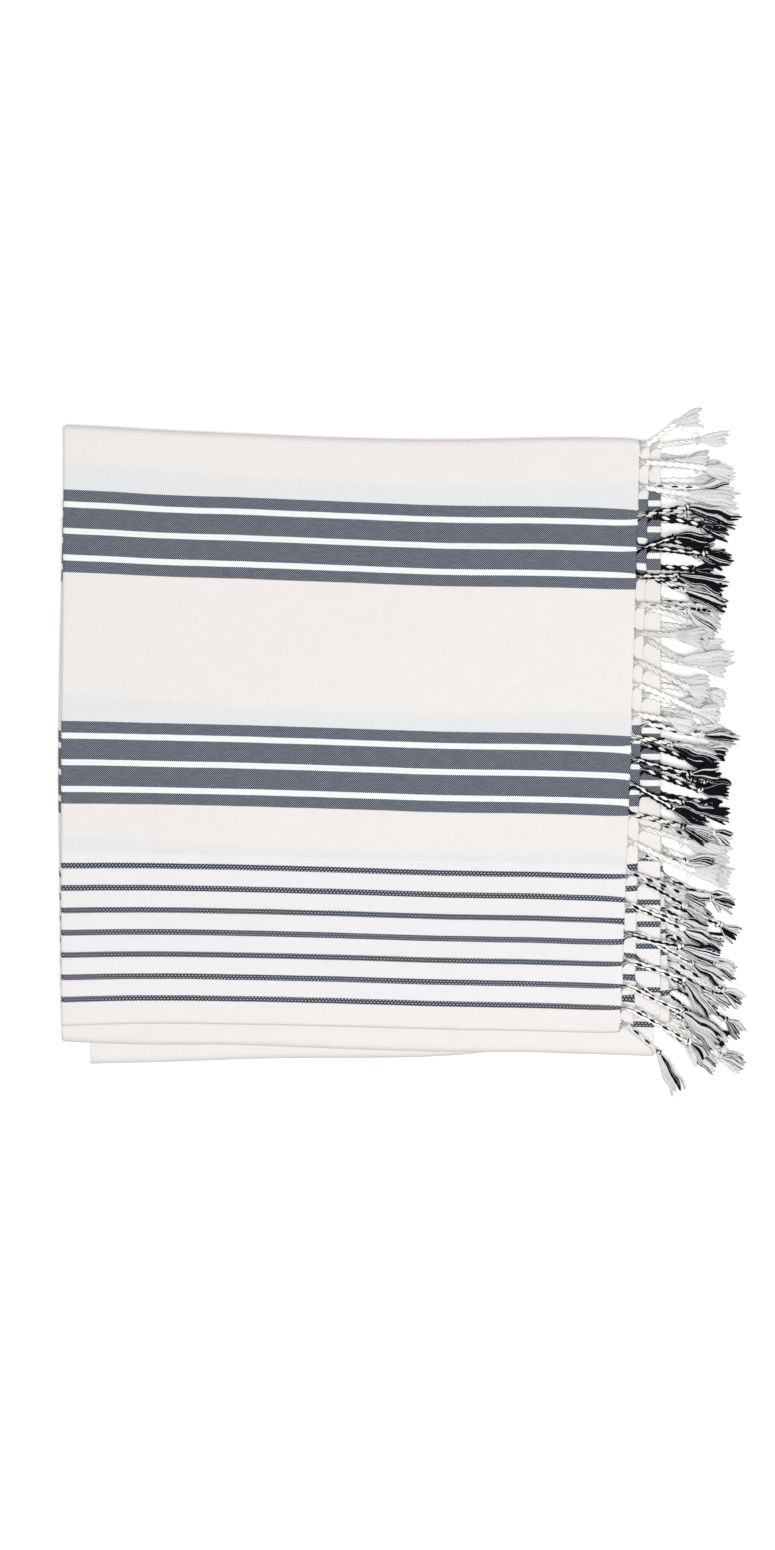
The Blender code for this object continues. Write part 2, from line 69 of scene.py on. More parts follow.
# X of the cloth's ends and lengthwise folds, at five places from the under selvedge (-1) round the top
# fold (0) to the upper selvedge (1)
sidePlaces = np.array([-1.0, -0.5, 0.0, 0.5, 1.0])
foldLines = {
    "endA": np.array([443.4, 433.1, 427.1, 420.5, 412.4]),
    "leftOuter": np.array([-1.4, -3.6, 0.6, -0.9, -1.3]),
    "right": np.array([438.2, 442.7, 443.0, 442.7, 442.7]),
    "leftInner": np.array([20.0, 20.0, 20.7, 20.7, 20.7]),
    "endB": np.array([450.1, 440.4, 434.5, 427.9, 422.7]),
}
# The slip of the cloth's middle to the under half, and how far the upper and the under half are drawn
lies = {
    "endA": np.array([-2.2, 0.981, 0.981]),
    "leftOuter": np.array([3.9, 1.003, 0.997]),
    "right": np.array([17.6, 0.985, 0.971]),
    "leftInner": np.array([22.0, 1.000, 0.997]),
    "endB": np.array([7.2, 0.981, 0.980]),
}
# The outermost layer's edge along the top fold, and its slip and draw on the upper half
topLayer = dict(
    x=np.array([1.5, 36.0, 65.0, 139.0, 213.0, 287.0, 361.0, 427.0]),
    edge=np.array([456.7, 455.0, 453.2, 449.8, 446.8, 445.8, 447.1, 447.1]),
    slip=np.array([3.9, 3.5, 3.2, 3.8, 3.6, 1.7, -0.2, -2.2]),
    draw=np.array([1.003, 0.996, 0.990, 0.985, 0.981, 0.979, 0.981, 0.981]),
)

# Between which lines each level runs, and where it is drawn otherwise than that: X and the draw there
levelLines = {
    4: ("endA", "leftOuter"), 1: ("leftOuter", "right"), 2: ("right", "leftInner"), 3: ("leftInner", "endB"),
}
upperDraw = {
    1: np.array([(1.5, 60.0, 200.0, 300.0, 440.0), (0.984, 0.977, 0.9755, 0.978, 0.985)]),
}
underDraw = {
    1: np.array([(1.5, 21.0, 129.0, 296.0, 440.0), (0.997, 0.996, 0.980, 0.971, 0.971)]),
    2: np.array([(20.7, 176.0, 296.0, 331.0, 374.0, 440.0), (0.997, 0.975, 0.968, 0.9635, 0.970, 0.971)]),
    3: np.array([(20.7, 176.0, 331.0, 434.5), (0.997, 0.982, 0.972, 0.950)]),
}


# A smooth curve through a few points: on each stretch the cubic whose slopes at both ends are those of the
# parabola through the neighbouring points
def smoothInterp(at, places, values):
    slopes = np.gradient(values, places)
    at = np.clip(at, places[0], places[-1])
    left = np.clip(np.searchsorted(places, at, side="right") - 1, 0, len(places) - 2)
    span = places[left + 1] - places[left]
    t = (at - places[left]) / span
    rise = values[left + 1] - values[left]
    start = slopes[left] * span
    end = slopes[left + 1] * span
    return values[left] + t * (start + t * (3 * rise - 2 * start - end + t * (start + end - 2 * rise)))


def lineX(name, side):
    return np.interp(side, sidePlaces, foldLines[name])


def alongTop(x, what):
    return smoothInterp(x, topLayer["x"], topLayer[what])


# Y of the line about which every layer turns at the top fold
def foldCentre(x):
    return alongTop(x, "edge") - fold["solidThickness"] / 2 - (fold["levels"] - 0.5) * fold["pitch"]


def levelRadius(level):
    return (level - 0.5) * fold["pitch"]


# The share of the loft at a place: two crossing waves, between 0 and 1
def looseness(x, y):
    wave = np.sin(x / 71 + y / 160) * np.sin(y / 83 - x / 210) + 0.5 * np.sin(x / 37 - y / 59)
    return 0.5 + wave / 3


# The height of a layer's middle once the stack has settled; the lowest layer stays flat
def settled(x, y, z):
    base = fold["solidThickness"] / 2
    t = np.clip((fold["packedY"][0] - y) / (fold["packedY"][0] - fold["packedY"][1]), 0, 1)
    packed = 1 - (1 - fold["packedShare"]) * t * t * (3 - 2 * t)
    return base + (z - base) * (1 + fold["loft"] * looseness(x, y)) * packed


# The lie of a level at a place: slip, upper and under draw
def lieAt(level, start, end, share, middleX):
    lie = lies[start] + (lies[end] - lies[start]) * share[..., None]
    if level == fold["levels"]:
        lie[..., 0] = alongTop(middleX, "slip")
        lie[..., 1] = alongTop(middleX, "draw")
    if level in upperDraw:
        lie[..., 1] = np.interp(middleX, *upperDraw[level])
    if level in underDraw:
        lie[..., 2] = smoothInterp(middleX, *underDraw[level])
    return lie


# Columns of the cloth's grid, each a line across its width: five X values, the lie, the fold radius, the
# radius that the stripes follow, and the level
def columnSet(level, start, end, share, shift, radius, woven):
    share = np.asarray(share, float)
    x = foldLines[start] + (foldLines[end] - foldLines[start]) * share[:, None] + np.asarray(shift)[:, None]
    lie = lieAt(level, start, end, share, x[:, 2])
    even = {
        key: np.broadcast_to(value, share.shape).astype(float)
        for key, value in dict(radius=radius, woven=woven, level=level).items()
    }
    return dict(x=x, lie=lie, **even)


# The stripes run on over a fold as on its higher level, and ease to the layer's own radius beyond it
def layerColumns(level, startShift, startLevel, endShift, endLevel, share):
    start, end = levelLines[level]
    shift = startShift + (endShift - startShift) * share
    own = levelRadius(level)
    ease = fold["ease"]
    woven = own + (levelRadius(max(level, startLevel)) - own) * np.exp(-share / ease)
    woven = woven + (levelRadius(max(level, endLevel)) - own) * np.exp(-(1 - share) / ease)
    return columnSet(level, start, end, share, shift, own, woven)


# A half turn at a fold line without its first and last column: the radius and the lie go from one level's to
# the other's by the cosine of the angle, and X swings out by its sine
def turnColumns(line, toward, fromLevel, toLevel, steps):
    angle = np.linspace(0, math.pi, steps + 1)[1:-1]
    first, last = levelRadius(fromLevel), levelRadius(toLevel)
    bend = abs(first - last) / 2
    shift = toward * (bend * np.sin(angle) - bend - fold["solidThickness"] / 2)
    radius = (first + last) / 2 + (first - last) / 2 * np.cos(angle)
    made = columnSet(0, line, line, np.zeros(len(angle)), shift, radius, max(first, last))
    middleX = made["x"][:1, 2]
    lieFrom, lieTo = (lieAt(level, line, line, np.zeros(1), middleX) for level in (fromLevel, toLevel))
    lie = lieFrom + (lieTo - lieFrom) * (0.5 - 0.5 * np.cos(angle))[:, None]
    return dict(made, lie=lie, level=radius / fold["pitch"] + 0.5)


def turnInset(fromLevel, toLevel):
    return abs(levelRadius(fromLevel) - levelRadius(toLevel)) / 2 + fold["solidThickness"] / 2


def joinColumns(sets):
    return {key: np.concatenate([one[key] for one in sets]) for key in sets[0]}


# Carries columns x stations to their folded place. Y runs down from the top fold by the side's share of
# the reach, and round the fold by the cosine and sine of the turn. v is the distance from the upper
# selvedge along the cloth.
def foldedGrid(columns, side, turn):
    basis = np.array([smoothInterp(side, sidePlaces, row) for row in np.eye(len(sidePlaces))])
    radius, woven, level = (columns[key][:, None] for key in ("radius", "woven", "level"))
    slip, upperDraw, underDraw = (columns["lie"][:, [k]] for k in range(3))
    away = 1 - np.abs(side)
    x = columns["x"] @ basis
    upperReach = upperDraw * (fold["width"] / 2 - slip - quarterTurn * radius)
    underReach = underDraw * (fold["width"] / 2 + slip - quarterTurn * radius)
    y = foldCentre(columns["x"][:, [2]]) - np.abs(side) * np.where(side > 0, upperReach, underReach)
    y = y + radius * np.cos(turn)
    z = middleHeight + radius * np.sin(turn) - fold["pitch"] * sunkLayers(x, y, level, side)
    upperV = (fold["width"] / 2 - slip - quarterTurn * woven) * away
    upperV = upperV + np.where(side == 0, woven * (quarterTurn - turn), 0)
    underW = (fold["width"] / 2 + slip - quarterTurn * woven) * away
    # along this selvedge the plain edge is wider by a length that fades over a distance, from a margin on
    wider, fading, margin = fold["underEdge"]
    underW = underW - wider * np.exp(-underW / fading) * (1 - np.exp(-(underW / margin) ** 2))
    v = np.where(side < 0, fold["width"] - underW, upperV)
    return x, y, settled(x, y, z), v


# The lie of a level at a place seen from above; side runs from 0 at the top fold to 1 or -1 at a selvedge
def lieSeen(level, side, x):
    start, end = levelLines[level]
    first, last = lineX(start, side), lineX(end, side)
    return lieAt(level, start, end, np.clip((x - first) / (last - first), 0, 1), x)


# Y of a level's selvedge on the upper (1) or under (-1) half
def selvedgeY(level, half, x):
    lie = lieSeen(level, half, x)
    flat = fold["width"] / 2 - half * lie[..., 0] - quarterTurn * levelRadius(level)
    return foldCentre(x) - lie[..., 1 if half > 0 else 2] * flat


# How many of the layers beneath have ended at a place: each counts from 0 before its selvedge to 1 beyond it
def sunkLayers(x, y, level, side):
    sunk = np.zeros(x.shape)
    inner = np.clip((x - fold["innerStart"]) / fold["sinkReach"], 0, 1)
    for half in (1, -1):
        for other in range(1, fold["levels"] + 1):
            t = np.clip((selvedgeY(other, half, x) - y + fold["sinkEarly"]) / fold["sinkReach"], 0, 1)
            missing = t * t * (3 - 2 * t) * (inner if other in (2, 3) else 1)
            if half > 0:
                beneath = (side > 0) * np.clip(level - other, 0, 1)
            else:
                beneath = np.where(side > 0, 1.0, (side < 0) * np.clip(other - level, 0, 1))
            sunk += beneath * missing
    return sunk


stripes = dict(
    thinFirst=17.4, thinPitch=16.47, thinWidth=4.3, thinCount=7,
    groupStarts=(164.1, 334.7),
    groupHalf=30.5,
    groupGaps=((0.0, 2.15), (17.5, 21.85)),  # white lines, by distance from the group's middle
)


# 1 where the warp is navy, at a distance w from the nearest selvedge
def stripeChart(w):
    along = w - stripes["thinFirst"]
    thinZone = (along > 0) & (along < stripes["thinPitch"] * stripes["thinCount"])
    navy = thinZone & (np.mod(along, stripes["thinPitch"]) < stripes["thinWidth"])
    for start in stripes["groupStarts"]:
        fromMiddle = np.abs(w - start - stripes["groupHalf"])
        group = fromMiddle < stripes["groupHalf"]
        for low, high in stripes["groupGaps"]:
            group &= (fromMiddle < low) | (fromMiddle > high)
        navy |= group
    return navy.astype(float)


# The chart's mean over a window of w, as the eye sees it through a layer of cloth
def blurredChart(w, window):
    return np.mean([stripeChart(w + offset) for offset in np.linspace(-window, window, 15)], axis=0)


def placed(x, y, z):
    return np.stack([np.asarray(x) * mm + shiftX, np.asarray(y) * mm + shiftY, np.asarray(z) * mm], axis=-1)


# Gathers grids of points as quads with a UV for each corner and values for each point
class Surfaces:
    def __init__(self):
        self.points, self.faces, self.corners, self.values = [], [], [], []
        self.count = 0

    # A grid of points (rows x columns x 3)
    def grid(self, points, u, v, values):
        rows, across = points.shape[:2]
        index = np.arange(rows * across).reshape(rows, across) + self.count
        quads = np.stack([index[:-1, :-1], index[:-1, 1:], index[1:, 1:], index[1:, :-1]], axis=-1)
        uv = np.stack([u, v], axis=-1)
        corners = np.stack([uv[:-1, :-1], uv[:-1, 1:], uv[1:, 1:], uv[1:, :-1]], axis=-2)
        self.add(points.reshape(-1, 3), [quads.reshape(-1, 4)], [corners.reshape(-1, 2)], values)

    # Tubes (tubes x rings x sides x 3) with flat caps; u runs round and v along each
    def tubes(self, points, along, values):
        tubes, rings, sides = points.shape[:3]
        index = np.arange(tubes * rings * sides).reshape(tubes, rings, sides) + self.count
        following = np.roll(index, -1, axis=2)
        quads = np.stack([index[:, :-1], following[:, :-1], following[:, 1:], index[:, 1:]], axis=-1)
        u = np.arange(sides) / sides
        around = np.broadcast_to(np.stack([u, u + 1 / sides, u + 1 / sides, u], axis=-1), quads.shape)
        start, end = along[:, :-1, None], along[:, 1:, None]
        lengthwise = np.broadcast_to(np.stack([start, start, end, end], axis=-1), quads.shape)
        capIndex = np.concatenate([index[:, 0, ::-1], index[:, -1]])
        capUv = np.zeros(capIndex.shape + (2,))
        capUv[..., 0] = 0.5
        capUv[..., 1] = np.concatenate([along[:, 0], along[:, -1]])[:, None]
        corners = np.stack([around, lengthwise], axis=-1).reshape(-1, 2)
        corners = [corners, capUv.reshape(-1, 2)]
        self.add(points.reshape(-1, 3), [quads.reshape(-1, 4), capIndex], corners, values)

    def add(self, points, faces, corners, values):
        self.points.append(points)
        self.faces += faces
        self.corners += corners
        self.values.append({key: np.broadcast_to(value, len(points)) for key, value in values.items()})
        self.count += len(points)

    def build(self, name, material):
        points = np.concatenate(self.points)
        loops = np.concatenate([face.ravel() for face in self.faces])
        sizes = np.concatenate([np.full(len(face), face.shape[1]) for face in self.faces])
        mesh = bpy.data.meshes.new(name)
        mesh.vertices.add(len(points))
        mesh.vertices.foreach_set("co", points.astype(np.float32).ravel())
        mesh.loops.add(len(loops))
        mesh.loops.foreach_set("vertex_index", loops.astype(np.int32))
        mesh.polygons.add(len(sizes))
        mesh.polygons.foreach_set("loop_start", (np.cumsum(sizes) - sizes).astype(np.int32))
        mesh.update(calc_edges=True)
        uv = mesh.uv_layers.new(name="thread")
        uv.data.foreach_set("uv", np.concatenate(self.corners).astype(np.float32).ravel())
        for key in self.values[0]:
            data = np.concatenate([value[key] for value in self.values])
            mesh.attributes.new(key, "FLOAT", "POINT").data.foreach_set("value", data.astype(np.float32))
        mesh.shade_smooth()
        mesh.materials.append(material)
        piece = bpy.data.objects.new(name, mesh)
        bpy.context.scene.collection.objects.link(piece)
        print(name, len(points), "points")
        return piece


# Wraps a socket, so that maths on it adds Math nodes
class Wire:
    def __init__(self, shader, socket):
        self.shader, self.socket = shader, socket

    def math(self, operation, *values):
        made = self.shader.node("ShaderNodeMath", {"operation": operation}, dict(enumerate(values)))
        return Wire(self.shader, made.outputs[0])

    def __add__(self, other):
        return self.math("ADD", self, other)

    def __sub__(self, other):
        return self.math("SUBTRACT", self, other)

    def __rsub__(self, other):
        return self.math("SUBTRACT", other, self)

    def __mul__(self, other):
        return self.math("MULTIPLY", self, other)

    def __truediv__(self, other):
        return self.math("DIVIDE", self, other)

    __radd__ = __add__
    __rmul__ = __mul__

    def __abs__(self):
        return self.math("ABSOLUTE", self)

    def sine(self):
        return self.math("SINE", self)

    def cosine(self):
        return self.math("COSINE", self)

    def fraction(self):
        return self.math("FRACT", self)

    def smaller(self, other):
        return self.math("MINIMUM", self, other)

    # A soft step from 0 at low to 1 at high; it falls where low is above high
    def step(self, low, high):
        if low > high:
            return 1 - self.step(high, low)
        made = self.shader.node(
            "ShaderNodeMapRange", {"interpolation_type": "SMOOTHSTEP"},
            {"Value": self, "From Min": low, "From Max": high})
        return Wire(self.shader, made.outputs[0])


class Shader:
    def __init__(self, name):
        self.material = bpy.data.materials.new(name)
        self.material.use_nodes = True
        self.nodes = self.material.node_tree.nodes
        self.links = self.material.node_tree.links
        self.surface = self.nodes["Principled BSDF"]

    def node(self, kind, settings=None, sockets=None):
        made = self.nodes.new(kind)
        for key, value in (settings or {}).items():
            setattr(made, key, value)
        for key, value in (sockets or {}).items():
            self.put(made.inputs[key], value)
        return made

    def put(self, socket, value):
        if isinstance(value, Wire):
            self.links.new(value.socket, socket)
        else:
            socket.default_value = value

    # Sets sockets of the surface to one value all over
    def evenly(self, **sockets):
        for key, value in sockets.items():
            self.surface.inputs[key.replace("_", " ")].default_value = value

    def finish(self, **sockets):
        for key, value in sockets.items():
            self.put(self.surface.inputs[key.replace("_", " ")], value)
        return self.material

    def uv(self):
        uv = self.node("ShaderNodeUVMap", {"uv_map": "thread"})
        split = self.node("ShaderNodeSeparateXYZ", None, {0: Wire(self, uv.outputs[0])})
        return Wire(self, split.outputs[0]), Wire(self, split.outputs[1])

    def attribute(self, name):
        return Wire(self, self.node("ShaderNodeAttribute", {"attribute_name": name}).outputs["Fac"])

    def vector(self, x, y, z=0.0):
        return Wire(self, self.node("ShaderNodeCombineXYZ", None, {0: x, 1: y, 2: z}).outputs[0])

    def noise(self, vector, scale, detail=2.0, roughness=0.5):
        made = self.node("ShaderNodeTexNoise", None,
                         {"Vector": vector, "Scale": scale, "Detail": detail, "Roughness": roughness})
        return Wire(self, made.outputs[0])

    # The distance from the nearest cell's middle, and a random value for the cell
    def cells(self, vector, scale):
        flat = {"voronoi_dimensions": "2D"}
        made = self.node("ShaderNodeTexVoronoi", flat, {"Vector": vector, "Scale": scale})
        split = self.node("ShaderNodeSeparateColor", None, {0: Wire(self, made.outputs["Color"])})
        return Wire(self, made.outputs["Distance"]), Wire(self, split.outputs[0])

    def mix(self, factor, first, second, blend="MIX"):
        made = self.node("ShaderNodeMix", {"data_type": "RGBA", "blend_type": blend},
                         {0: factor, 6: first, 7: second})
        return Wire(self, made.outputs[2])

    # A colour made lighter or darker by a level
    def shaded(self, colour, level):
        grey = self.node("ShaderNodeCombineColor", None, {0: level, 1: level, 2: level})
        return self.mix(1.0, colour, Wire(self, grey.outputs[0]), "MULTIPLY")

    def bump(self, height, distance, strength=1.0):
        made = self.node("ShaderNodeBump", None,
                         {"Strength": strength, "Distance": distance, "Height": height})
        return Wire(self, made.outputs[0])


def tint(red, green, blue):
    return (red, green, blue, 1.0)


weave = dict(
    thread=0.77,  # from one thread to the next
    edge=0.14,  # half the softness of a stripe's edge
    tooth=0.2, wander=0.5,  # how far that edge moves
    zoneShort=6.0,  # the zone of thin stripes ends this far before a further stripe would begin
    cream=tint(0.712, 0.682, 0.666),
    coolCream=tint(0.650, 0.660, 0.668),  # where a stripe of the layer beneath shows through
    thinCream=tint(0.722, 0.699, 0.708),  # between the thin stripes
    gapWhite=tint(0.80, 0.80, 0.79),
    navy=tint(0.020, 0.024, 0.036),
    speck=tint(0.54, 0.60, 0.69),  # the white weft between navy warps
    fleck=tint(0.40, 0.34, 0.28),
    roughness=0.88,
)


# 1 between low and high, with soft edges
def band(value, low, high):
    edge = weave["edge"]
    return value.step(low - edge, low + edge) * value.step(high + edge, high - edge)


# The zone of the thin stripes, and the shares of navy and of the white lines within the groups
def stripeShares(w):
    along = w - stripes["thinFirst"]
    turn = (along / stripes["thinPitch"]).fraction() * stripes["thinPitch"]
    zoneEnd = stripes["thinPitch"] * stripes["thinCount"] - weave["zoneShort"]
    zone = along.step(-weave["edge"], weave["edge"]) * along.step(zoneEnd + 1.0, zoneEnd)
    navy = zone * band(turn, 0.0, stripes["thinWidth"])
    white = 0.0
    for start in stripes["groupStarts"]:
        fromMiddle = abs(w - (start + stripes["groupHalf"]))
        group = fromMiddle.step(stripes["groupHalf"] + weave["edge"], stripes["groupHalf"] - weave["edge"])
        gap = sum(band(fromMiddle, low, high) for low, high in stripes["groupGaps"])
        navy = navy + group * (1 - gap)
        white = group * gap + white
    return zone, navy.smaller(1.0), white


def clothMaterial():
    cloth = Shader("stripedCotton")
    u, v = (part * 1000.0 for part in cloth.uv())  # millimetres
    perThread = math.pi / weave["thread"]
    # threads: one half turn of the sine for each thread, so that the product changes sign at each crossing;
    # it is written as two diagonals, of which one is stronger and gives the faint twill
    crossing = ((u - v) * perThread).cosine() * 0.62 - ((u + v) * perThread).cosine() * 0.38
    place = cloth.vector(u, v)
    drift = cloth.noise(place, 0.035, 3.0)
    # the stripes' edges wander a little and have a tooth for every second weft
    toothed = v + ((u * perThread).sine() * weave["tooth"]) + (drift - 0.5) * weave["wander"]
    zone, navyShare, gapShare = stripeShares(toothed.smaller(fold["width"] - toothed))
    # plain cloth: cream, cooler where a stripe of the layer beneath shows through, mottled very slightly
    plain = cloth.mix(zone * 0.8, weave["cream"], weave["thinCream"])
    plain = cloth.mix(cloth.attribute("beneath") * (1 - zone * 0.75), plain, weave["coolCream"])
    plain = cloth.mix(gapShare * 0.8, plain, weave["gapWhite"])
    slub = cloth.noise(cloth.vector(u * 0.05, v * 1.3), 1.0, 2.0)
    blotch = cloth.noise(place, 0.16, 3.0, 0.65)
    # the crossing term paints slight shade into the weave's hollows; slub, drift and blotch vary the tone at
    # random
    plain = cloth.shaded(plain, 0.93 + 0.06 * slub + 0.03 * drift + 0.07 * blotch + 0.02 * crossing)
    # flecks of seed: a small spot in about half of the cells, the fewest of them dark
    distance, chance = cloth.cells(cloth.vector(u * 0.8, v), 0.155)
    spot = distance.step(0.07, 0.025) * chance.step(0.55, 1.15)
    plain = cloth.mix(spot * 0.4, plain, weave["fleck"])
    # navy cloth: navy warps with the white weft as specks between them
    speck = crossing.step(-0.26, -0.62)
    worn = cloth.noise(cloth.vector(u * 0.12, v * 0.5), 1.0, 3.0)
    banded = cloth.mix(speck * (0.56 + 0.5 * worn), weave["navy"], weave["speck"])
    # in the thin stripes the weft shows as larger specks in slanted rows
    slanted = (u * 2.4 + v * 2.2).sine().step(0.1, 0.8) * (v * 3.6).cosine().step(-0.5, 0.4)
    thin = cloth.mix(slanted * 0.8 + speck * 0.1, weave["navy"], weave["speck"])
    colour = cloth.mix(navyShare, plain, cloth.mix(zone, banded, thin))
    # threads, slubs and the thicker selvedges as relief
    selvedge = abs(v.smaller(fold["width"] - v) - 1.6).step(1.4, 0.6)
    height = 0.5 + 0.30 * crossing + 0.5 * slub + 0.8 * selvedge
    cloth.evenly(Sheen_Weight=0.12, Sheen_Roughness=0.5, Specular_IOR_Level=0.2)
    return cloth.finish(Base_Color=colour, Roughness=weave["roughness"], Normal=cloth.bump(height, 0.00011))


# Each strand's root Y, the length of its twisted cord and that cord's dip below the X direction in degrees,
# and the same for its tail beyond the knot
upperStrandsA = (
    (440, 32, -37, 22, -12), (428, 46, 5, 26, 10), (410, 34, 10, 43, 11), (389, 36, -11, 43, 14),
    (365, 28, -19, 30, 13), (344, 30, -1, 40, 16), (323, 38, 7, 30, 30), (302, 27, 3, 27, 11),
    (281, 42, 28, 21, 18), (264, 49, 24, 21, 4), (242, 26, 10, 23, 27), (225, 29, 10, 39, 13),
    (209, 44, 15, 25, 0), (190, 34, 32, 33, 23), (168, 40, 13, 24, 20), (148, 51, 26, 25, 14),
    (125, 43, 21, 24, 20), (102, 45, 25, 25, 26), (79, 41, 13, 33, 20), (60, 46, 19, 37, 47),
    (42, 46, 26, 38, 35), (26, 55, 29, 21, 56), (13, 35, 40, 36, 60),
)
upperStrandsB = (
    (440, 36, -9, 25, -5), (427, 26, -7, 18, 2), (411, 38, 2, 25, -7), (388, 39, 9, 24, 14),
    (365, 42, 6, 25, 15), (344, 28, 23, 37, 23), (320, 35, 17, 21, 27), (297, 30, 32, 43, 0),
    (276, 30, 19, 22, 4), (256, 23, 15, 27, 3), (236, 44, 13, 31, 10), (219, 32, 16, 29, 12),
    (201, 46, 20, 25, 5), (184, 31, 14, 26, 31), (158, 35, 17, 40, 17), (138, 34, 9, 27, 9),
    (118, 38, 29, 25, 30), (99, 32, 18, 25, 21), (80, 46, 31, 29, 36), (60, 45, 31, 27, 34),
    (41, 44, 36, 32, 43), (24, 51, 37, 25, 40),
)
# The under rows are even, longer and more slanted near the selvedge; neighbours lean apart
underRow = dict(
    pitchA=21.0, pitchB=20.4, firstA=436.0, firstB=427.0, count=21,
    rootY=(0.0, 60.0, 150.0, 440.0), cord=(50.0, 44.0, 35.0, 34.0), dip=(37.0, 33.0, 20.0, 4.0),
    tail=20.0, sway=7.0, swayLength=0.3,
)
# A strand's sections: share of the cord, share of the tail and a further distance, then width and height
strandSections = np.array([
    (0.0, 0.0, 4.0, 3.4, 1.6), (0.0, 0.0, 9.0, 4.2, 3.0), (0.5, 0.0, 1.0, 4.2, 3.2),
    (0.8, 0.0, 0.0, 4.2, 3.2), (1.0, 0.0, -3.6, 4.4, 3.4), (1.0, 0.0, -1.4, 6.6, 4.4),
    (1.0, 0.0, 2.2, 6.4, 4.2), (1.0, 0.0, 4.6, 5.2, 3.0), (1.0, 0.5, 1.0, 8.6, 2.4),
    (1.0, 1.0, 0.0, 12.0, 1.8),
])
laying = dict(
    clearance=0.3, bow=9.0, settle=8.0, tailTurn=6.0, steepest=0.6, fanSpread=3.5,
    cell=1.0, fieldX=(390.0, 570.0), fieldY=(-90.0, 490.0), sideMargin=0.5, samples=120, across=25,
    warpReach=12.5,  # a ply is twisted from the warp ends within this distance of the root, on its side
)


def underStrands(end):
    rows = []
    firstY = underRow["first" + end]
    for number in range(underRow["count"]):
        rootY = firstY - underRow["pitch" + end] * number
        sway = underRow["sway"] * math.sin(2.3 * number + firstY)
        longer = underRow["swayLength"] * sway
        cord = float(np.interp(rootY, underRow["rootY"], underRow["cord"]))
        dip = float(np.interp(rootY, underRow["rootY"], underRow["dip"]))
        rows.append((rootY, cord - longer, dip + sway, underRow["tail"] + longer, dip - sway))
    return rows


# A strand seen from above: its heading turns from the root to the dip, bows along the cord and turns to the
# tail's dip, and its path is the running sum of that heading
class Course:
    def __init__(self, strand, number, rootX):
        rootY, self.cord, dip, self.tail, tailDip = strand
        self.number = number
        self.fine = np.linspace(0, self.cord + self.tail, laying["samples"])
        bow = laying["bow"] * math.sin(2.4 * number)
        alongCord = np.clip(self.fine / self.cord, 0, 1)
        alongTail = np.clip((self.fine - self.cord) / laying["tailTurn"], 0, 1)
        heading = (dip + bow * (alongCord - 0.5)) * np.clip(self.fine / laying["settle"], 0, 1)
        self.angle = np.radians(heading + (tailDip - dip) * alongTail)
        step = np.diff(self.fine, prepend=0)
        self.x = rootX + np.cumsum(step * np.cos(self.angle))
        self.y = rootY - np.cumsum(step * np.sin(self.angle))
        shareCord, shareTail, further, self.width, self.height = strandSections.T.copy()
        self.at = shareCord * self.cord + shareTail * self.tail + further
        self.width[-1] += laying["fanSpread"] * math.sin(1.7 * number + self.cord)
        self.fineWidth = np.interp(self.fine, self.at, self.width)

    # For each section, the worst of the values between its two neighbours
    def near(self, values, worst):
        before = np.concatenate(([0], self.at[:-1]))
        after = np.concatenate((self.at[1:], self.at[-1:]))
        return np.array([worst(values[(self.fine >= a) & (self.fine <= b)]) for a, b in zip(before, after)])

    # Bends a straight strand onto the course: a is the distance along it, l to its left and z the height
    # above what it lies on, as a share of its own height where scaled
    def bend(self, a, l, z, scaled=True):
        x = np.interp(a, self.fine, self.x) + np.minimum(a, 0)
        y = np.interp(a, self.fine, self.y)
        angle = np.interp(a, self.fine, self.angle)
        past = np.maximum(a - self.fine[-1], 0)
        x = x + past * np.cos(angle) + l * np.sin(angle)
        y = y - past * np.sin(angle) + l * np.cos(angle)
        bottom = np.interp(a, self.places, self.bottoms)
        height = np.interp(a, self.places, self.heights)
        return placed(x, y, bottom + z * (height if scaled else 1.0))

    # The same for rings about the middle line of a strand of a given width
    def wrap(self, rings, width):
        return self.bend(rings[..., 0], rings[..., 1], 0.5 + rings[..., 2] / width)


